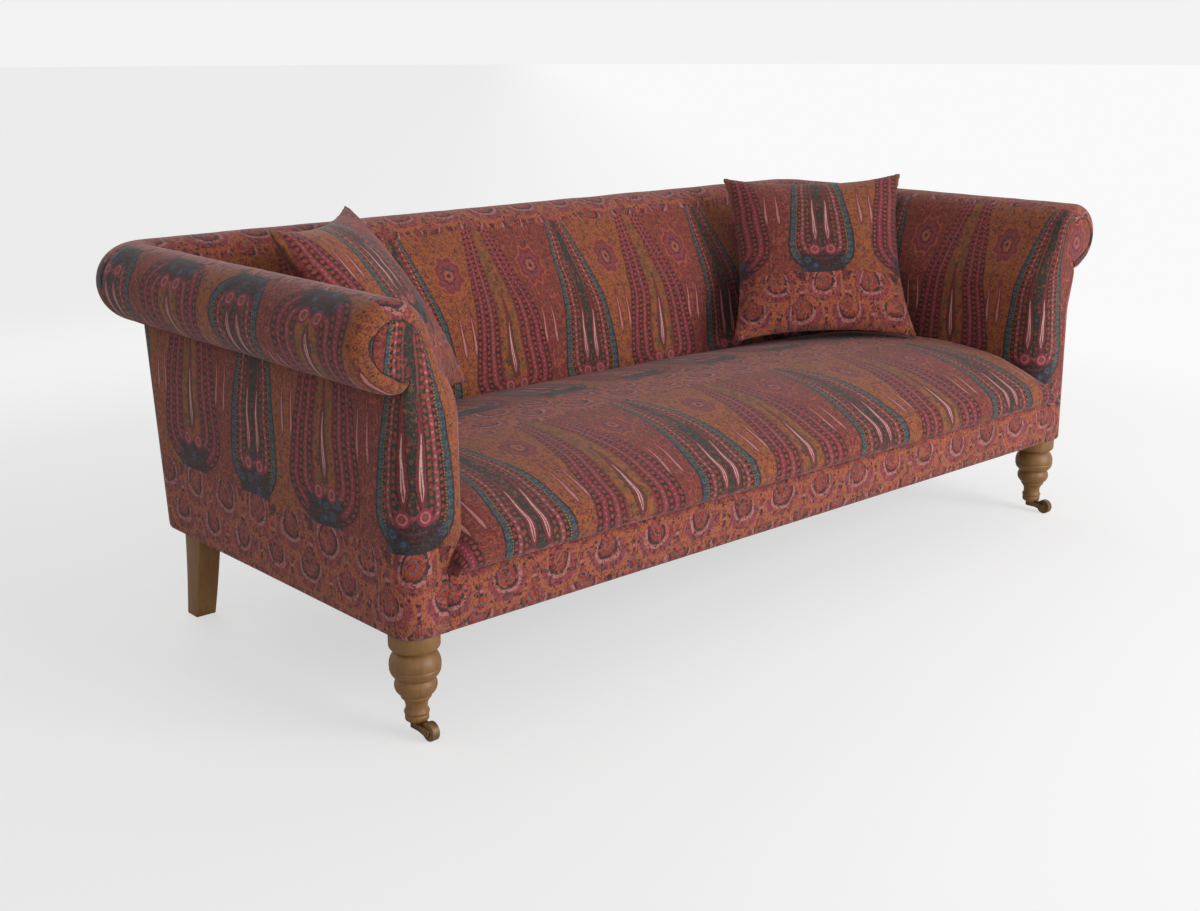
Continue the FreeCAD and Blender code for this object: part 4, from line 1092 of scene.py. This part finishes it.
def plumpUp(mesh):
    # The blank is remeshed and blown up a little as cloth, so that it gets real pulls and dimples.
    scene = bpy.context.scene
    holder = newObject("cushionCloth", mesh)
    remesh = holder.modifiers.new("remesh", "REMESH")
    remesh.mode = "VOXEL"
    remesh.voxel_size = 0.0055
    bpy.context.view_layer.update()
    even = shownMesh(holder)
    holder.modifiers.clear()
    holder.data = even
    start = [vert.co.copy() for vert in even.vertices]
    sewn = holder.vertex_groups.new(name="rim")
    for vert in even.vertices:
        if abs(vert.co.z) < 0.010 and max(abs(vert.co.x), abs(vert.co.y)) > cushion["side"] / 2.0 - 0.030:
            sewn.add([vert.index], 1.0, "REPLACE")
    fabric = holder.modifiers.new("fabric", "CLOTH")
    for key, value in cushion["fabric"].items():
        setattr(fabric.settings, key, value)
    fabric.settings.effector_weights.gravity = 0.0
    fabric.settings.vertex_group_mass = "rim"
    fabric.point_cache.frame_start = 1
    fabric.point_cache.frame_end = 20
    for frameNumber in range(1, 21):
        scene.frame_set(frameNumber)
    blown = shownMesh(holder)
    scene.frame_set(1)
    for vert, origin in zip(blown.vertices, start):
        moved = vert.co - origin
        if moved.length > cushion["cap"]:
            vert.co = origin + moved * (cushion["cap"] / moved.length)
    bpy.data.objects.remove(holder)
    return blown


def makeCushion(word, pose, mirror, plump):
    bm = newShell()
    bm.from_mesh(plump)
    uvs = bm.loops.layers.uv.get("cloth") or bm.loops.layers.uv.new("cloth")
    half = cushion["side"] / 2.0
    seed = 3.0 if mirror else 0.0
    for vert in bm.verts:
        spot = vert.co
        edge = max(abs(spot.x), abs(spot.y)) / half
        pull = 0.0035 * noise.noise(Vector((spot.x, spot.y, seed)) / 0.07) * easeIn(1.0 - edge, 0.0, 0.25)
        spot.z += copysign(pull, spot.z)
        # short gathers that run in from the seam, strongest near the corners
        corner = easeIn(min(abs(spot.x), abs(spot.y)) / half, 0.35, 0.95)
        angle = atan2(abs(spot.y), abs(spot.x))
        gather = 0.0014 * sin(angle * 46.0 + seed) * easeIn(edge, 0.55, 0.92) * corner
        spot.z += copysign(gather, spot.z) * (abs(spot.z) > 0.004)
    place = cushionPlace(pose, mirror)
    for face in bm.faces:
        face.smooth = True
        for loop in face.loops:
            spot = loop.vert.co
            side = 1.0 if face.normal.z > 0 else -1.0
            loop[uvs].uv = (spot.x * side, spot.y + half - 0.165)
    bm.transform(place)
    if mirror:
        bmesh.ops.reverse_faces(bm, faces=bm.faces)
    replaced = ["cushion_cover_" + word, "cushion_pad_" + word]
    piece = addCover("cushion." + word, bm, replaced, "cushion_" + word, wall=0.0)
    smooth = piece.modifiers.new("smooth", "SUBSURF")
    smooth.levels = smooth.render_levels = 1


plump = plumpUp(cushionBlank())
makeCushion("right", cushion["rightPose"], False, plump)
makeCushion("left", cushion["leftPose"], True, plump)
print("cushions plumped")


# legs
leg = dict(
    x=0.950,
    y=-0.4485,
    foot=0.027,
    turning=(  # radius and height over the foot in mm: points, and arcs as middle, end and steps
        (0.0, 0.0), (18.6, 0.0), (20.2, 0.5), (21.0, 2.0), (21.0, 9.6), (20.3, 10.6), (20.0, 11.0),
        ((22.4, 15.5), (20.0, 20.0), 8), ((19.4, 29.0), (24.5, 41.0), 8), ((27.1, 44.5), (26.5, 48.0), 5),
        ((37.5, 66.0), (32.5, 79.0), 12), ((41.0, 86.0), (45.0, 98.0), 8), (43.9, 98.9), (43.8, 99.4),
        (45.0, 100.3), ((43.5, 115.0), (33.0, 130.0), 14), (33.0, 132.5), ((42.0, 134.5), (45.0, 141.0), 8),
        (45.0, 166.0), (44.0, 168.0), (0.0, 168.0),
    ),
)
rearLeg = dict(  # width, depth and back edge at the foot and at the head
    outer=0.978,
    height=0.195,
    footSection=(0.044, 0.040, 0.341),
    headSection=(0.050, 0.062, 0.324),
    sweep=1.6,
    rounding=0.0022,
)


def arcThrough(first, middle, last, steps):
    # Points of the arc through three points, without the first.
    (ax, ay), (bx, by), (cx, cy) = first, middle, last
    twice = 2.0 * (ax * (by - cy) + bx * (cy - ay) + cx * (ay - by))
    ux = ((ax * ax + ay * ay) * (by - cy) + (bx * bx + by * by) * (cy - ay) + (cx * cx + cy * cy) * (ay - by)) / twice
    uy = ((ax * ax + ay * ay) * (cx - bx) + (bx * bx + by * by) * (ax - cx) + (cx * cx + cy * cy) * (bx - ax)) / twice
    radius = dist(first, (ux, uy))
    start, mid, end = (atan2(y - uy, x - ux) for x, y in (first, middle, last))
    sweep = (end - start) % fullTurn
    if (mid - start) % fullTurn > sweep:
        sweep -= fullTurn
    return arcPoints((ux, uy), radius, start, start + sweep, steps)


def makeFrontLeg(side, word):
    line = []
    for spot in leg["turning"]:
        line += [spot] if len(spot) == 2 else arcThrough(line[-1], *spot)
    centre = Vector((leg["x"] * side, leg["y"], 0.0))
    bm = bmesh.new()
    verts = [bm.verts.new(centre + Vector((r / 1000.0, 0.0, leg["foot"] + z / 1000.0))) for r, z in line]
    edges = [bm.edges.new(pair) for pair in zip(verts, verts[1:])]
    bmesh.ops.spin(
        bm, geom=verts + edges, cent=centre, axis=(0, 0, 1), angle=fullTurn, steps=72, use_merge=True
    )
    bmesh.ops.remove_doubles(bm, verts=bm.verts, dist=0.00005)
    bmesh.ops.recalc_face_normals(bm, faces=bm.faces)
    for face in bm.faces:
        face.smooth = True
    piece = addPiece("frontLeg." + word, bm, "sofa", ["front_leg_" + word], legWood)


def makeRearLeg(side, word):
    bm = bmesh.new()
    made = bmesh.ops.create_cube(bm, size=1.0)
    footBack, headBack = rearLeg["footSection"][2], rearLeg["headSection"][2]
    for vert in made["verts"]:
        width, depth, back = rearLeg["headSection" if vert.co.z > 0.0 else "footSection"]
        x = rearLeg["outer"] - width * (0.5 - vert.co.x)
        vert.co = Vector((x, back - depth * (0.5 - vert.co.y), rearLeg["height"] * (vert.co.z + 0.5)))
    upright = [edge for edge in bm.edges if abs(edge.verts[0].co.z - edge.verts[1].co.z) > 0.1]
    bmesh.ops.subdivide_edges(bm, edges=upright, cuts=12, use_grid_fill=True)
    for vert in bm.verts:  # the back edge curves outward towards the foot
        low = 1.0 - vert.co.z / rearLeg["height"]
        vert.co.y += (footBack - headBack) * (low ** rearLeg["sweep"] - low)
    corners = []
    for edge in bm.edges:
        if len(edge.link_faces) == 2 and edge.calc_face_angle(0.0) > 0.9:
            corners.append(edge)
    bmesh.ops.bevel(
        bm, geom=corners, offset=rearLeg["rounding"], offset_type="OFFSET", segments=3, profile=0.5, affect="EDGES",
        material=-1,
    )
    for face in bm.faces:
        face.smooth = True
    for vert in bm.verts:
        vert.co.x *= side
    if side < 0:
        bmesh.ops.reverse_faces(bm, faces=bm.faces)
    piece = addPiece("rearLeg." + word, bm, "sofa", ["rear_leg_" + word], legWood)
    piece.data.set_sharp_from_angle(angle=radians(50))


for side, word in sides.items():
    makeFrontLeg(side, word)
    makeRearLeg(side, word)
print("legs turned")


# dust cover under the frame
dust = dict(columns=60, rows=26, height=0.1946, sag=0.003, wall=0.0006)


def makeDustCover():
    bm = newShell()
    low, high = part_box("dust_cover")

    def place(i, j):
        a, b = i / dust["columns"], j / dust["rows"]
        x = low.x + (high.x - low.x) * a
        y = low.y + (high.y - low.y) * b
        sag = dust["sag"] * max(sin(pi * a) * sin(pi * b), 0.0) ** 0.5
        return Vector((x, y, dust["height"] - sag)), (x, y)

    bendSheet(bm, dust["columns"], dust["rows"], place, lambda middle: middle + Vector((0, 0, 0.1)))
    piece = addPiece("dustCover", bm, "sofa", ["dust_cover"], looks["dustCloth"])
    thicken(piece, dust["wall"])


makeDustCover()

# studio
studio = dict(
    cameraPlace=(-2.317, -2.444, 1.168),
    yaw=41.96,
    pitch=15.59,
    roll=-0.13,
    lens=45.30,
    floorColour=tint(236, 236, 236),
    worldLight=0.35,
    nearLevel=1.22,
    farLevel=0.93,
    worldShare=0.96,
    seenShare=0.50,
    lamps=(  # name, place, aim, size, power
        ("keyLamp", (1.7, -4.9, 1.9), (0.0, 0.1, 0.45), 3.4, 190.0),
        ("fillLamp", (-3.2, -4.4, 2.2), (0.0, 0.0, 0.45), 3.0, 24.0),
        ("topLamp", (0.4, 0.4, 4.6), (0.0, 0.0, 0.3), 4.5, 10.0),
        ("backLamp", (0.6, 4.8, 2.4), (0.0, 0.0, 0.4), 3.4, 70.0),
    ),
)


def makeStudio():
    scene = bpy.context.scene
    camera = newObject("camera", bpy.data.cameras.new("camera"))
    camera.data.lens = studio["lens"]
    camera.data.sensor_width = 36.0
    camera.data.sensor_fit = "HORIZONTAL"
    camera.data.clip_end = 200.0
    turned = (
        Matrix.Rotation(radians(-studio["yaw"]), 4, "Z")
        @ Matrix.Rotation(radians(90.0 - studio["pitch"]), 4, "X")
        @ Matrix.Rotation(radians(studio["roll"]), 4, "Z")
    )
    camera.matrix_world = Matrix.Translation(studio["cameraPlace"]) @ turned
    scene.camera = camera

    bm = bmesh.new()
    bmesh.ops.create_circle(bm, cap_ends=True, segments=64, radius=60.0)
    floor = newObject("floor", newMesh("floor", bm))
    look = Look("floor")
    lit = look.node("ShaderNodeBsdfDiffuse", None, {"Color": studio["floorColour"]})
    x, y, _ = look.split(look.ownPlace())
    away = look.fade(look.maths("SQRT", x * x + y * y), 1.7, 4.2)
    paintedLightToRight = look.fade(x - 0.8 * y, -2.2, 2.6)  # painted light: the floor's glow is made brighter towards the right of the picture, standing in for uneven studio light on the paper
    level = (studio["nearLevel"] + (studio["farLevel"] - studio["nearLevel"]) * away) * (0.90 + 0.12 * paintedLightToRight)
    white = (1.0, 1.0, 1.0, 1.0)
    plain = look.node("ShaderNodeEmission", None, {"Color": white, "Strength": level})
    seen = look.node("ShaderNodeLightPath", None, None, "Is Camera Ray")
    share = studio["seenShare"] + (1.0 - studio["seenShare"]) * away
    both = look.node("ShaderNodeMixShader", None, {0: seen * share, 1: lit, 2: plain})
    floor.data.materials.append(look.show(both))

    sky = Look("studio", bpy.data.worlds)
    cameraRay = sky.node("ShaderNodeLightPath", None, None, "Is Camera Ray")
    seen = sky.most(cameraRay, sky.node("ShaderNodeLightPath", None, None, "Is Glossy Ray"))
    light = sky.node("ShaderNodeBackground", None, {"Color": white, "Strength": studio["worldLight"]})
    paperLevel = studio["farLevel"] * studio["worldShare"]
    paper = sky.node("ShaderNodeBackground", None, {"Color": white, "Strength": paperLevel})
    both = sky.node("ShaderNodeMixShader", None, {0: seen, 1: light, 2: paper})
    scene.world = sky.show(both, "ShaderNodeOutputWorld")

    for name, place, aim, size, power in studio["lamps"]:
        lamp = newObject(name, bpy.data.lights.new(name, "AREA"))
        lamp.data.size = size
        lamp.data.energy = power
        turned = (Vector(aim) - Vector(place)).to_track_quat("-Z", "Y")
        lamp.matrix_world = Matrix.Translation(place) @ turned.to_matrix().to_4x4()
    scene.view_settings.view_transform = "Standard"


makeStudio()
print("studio ready")
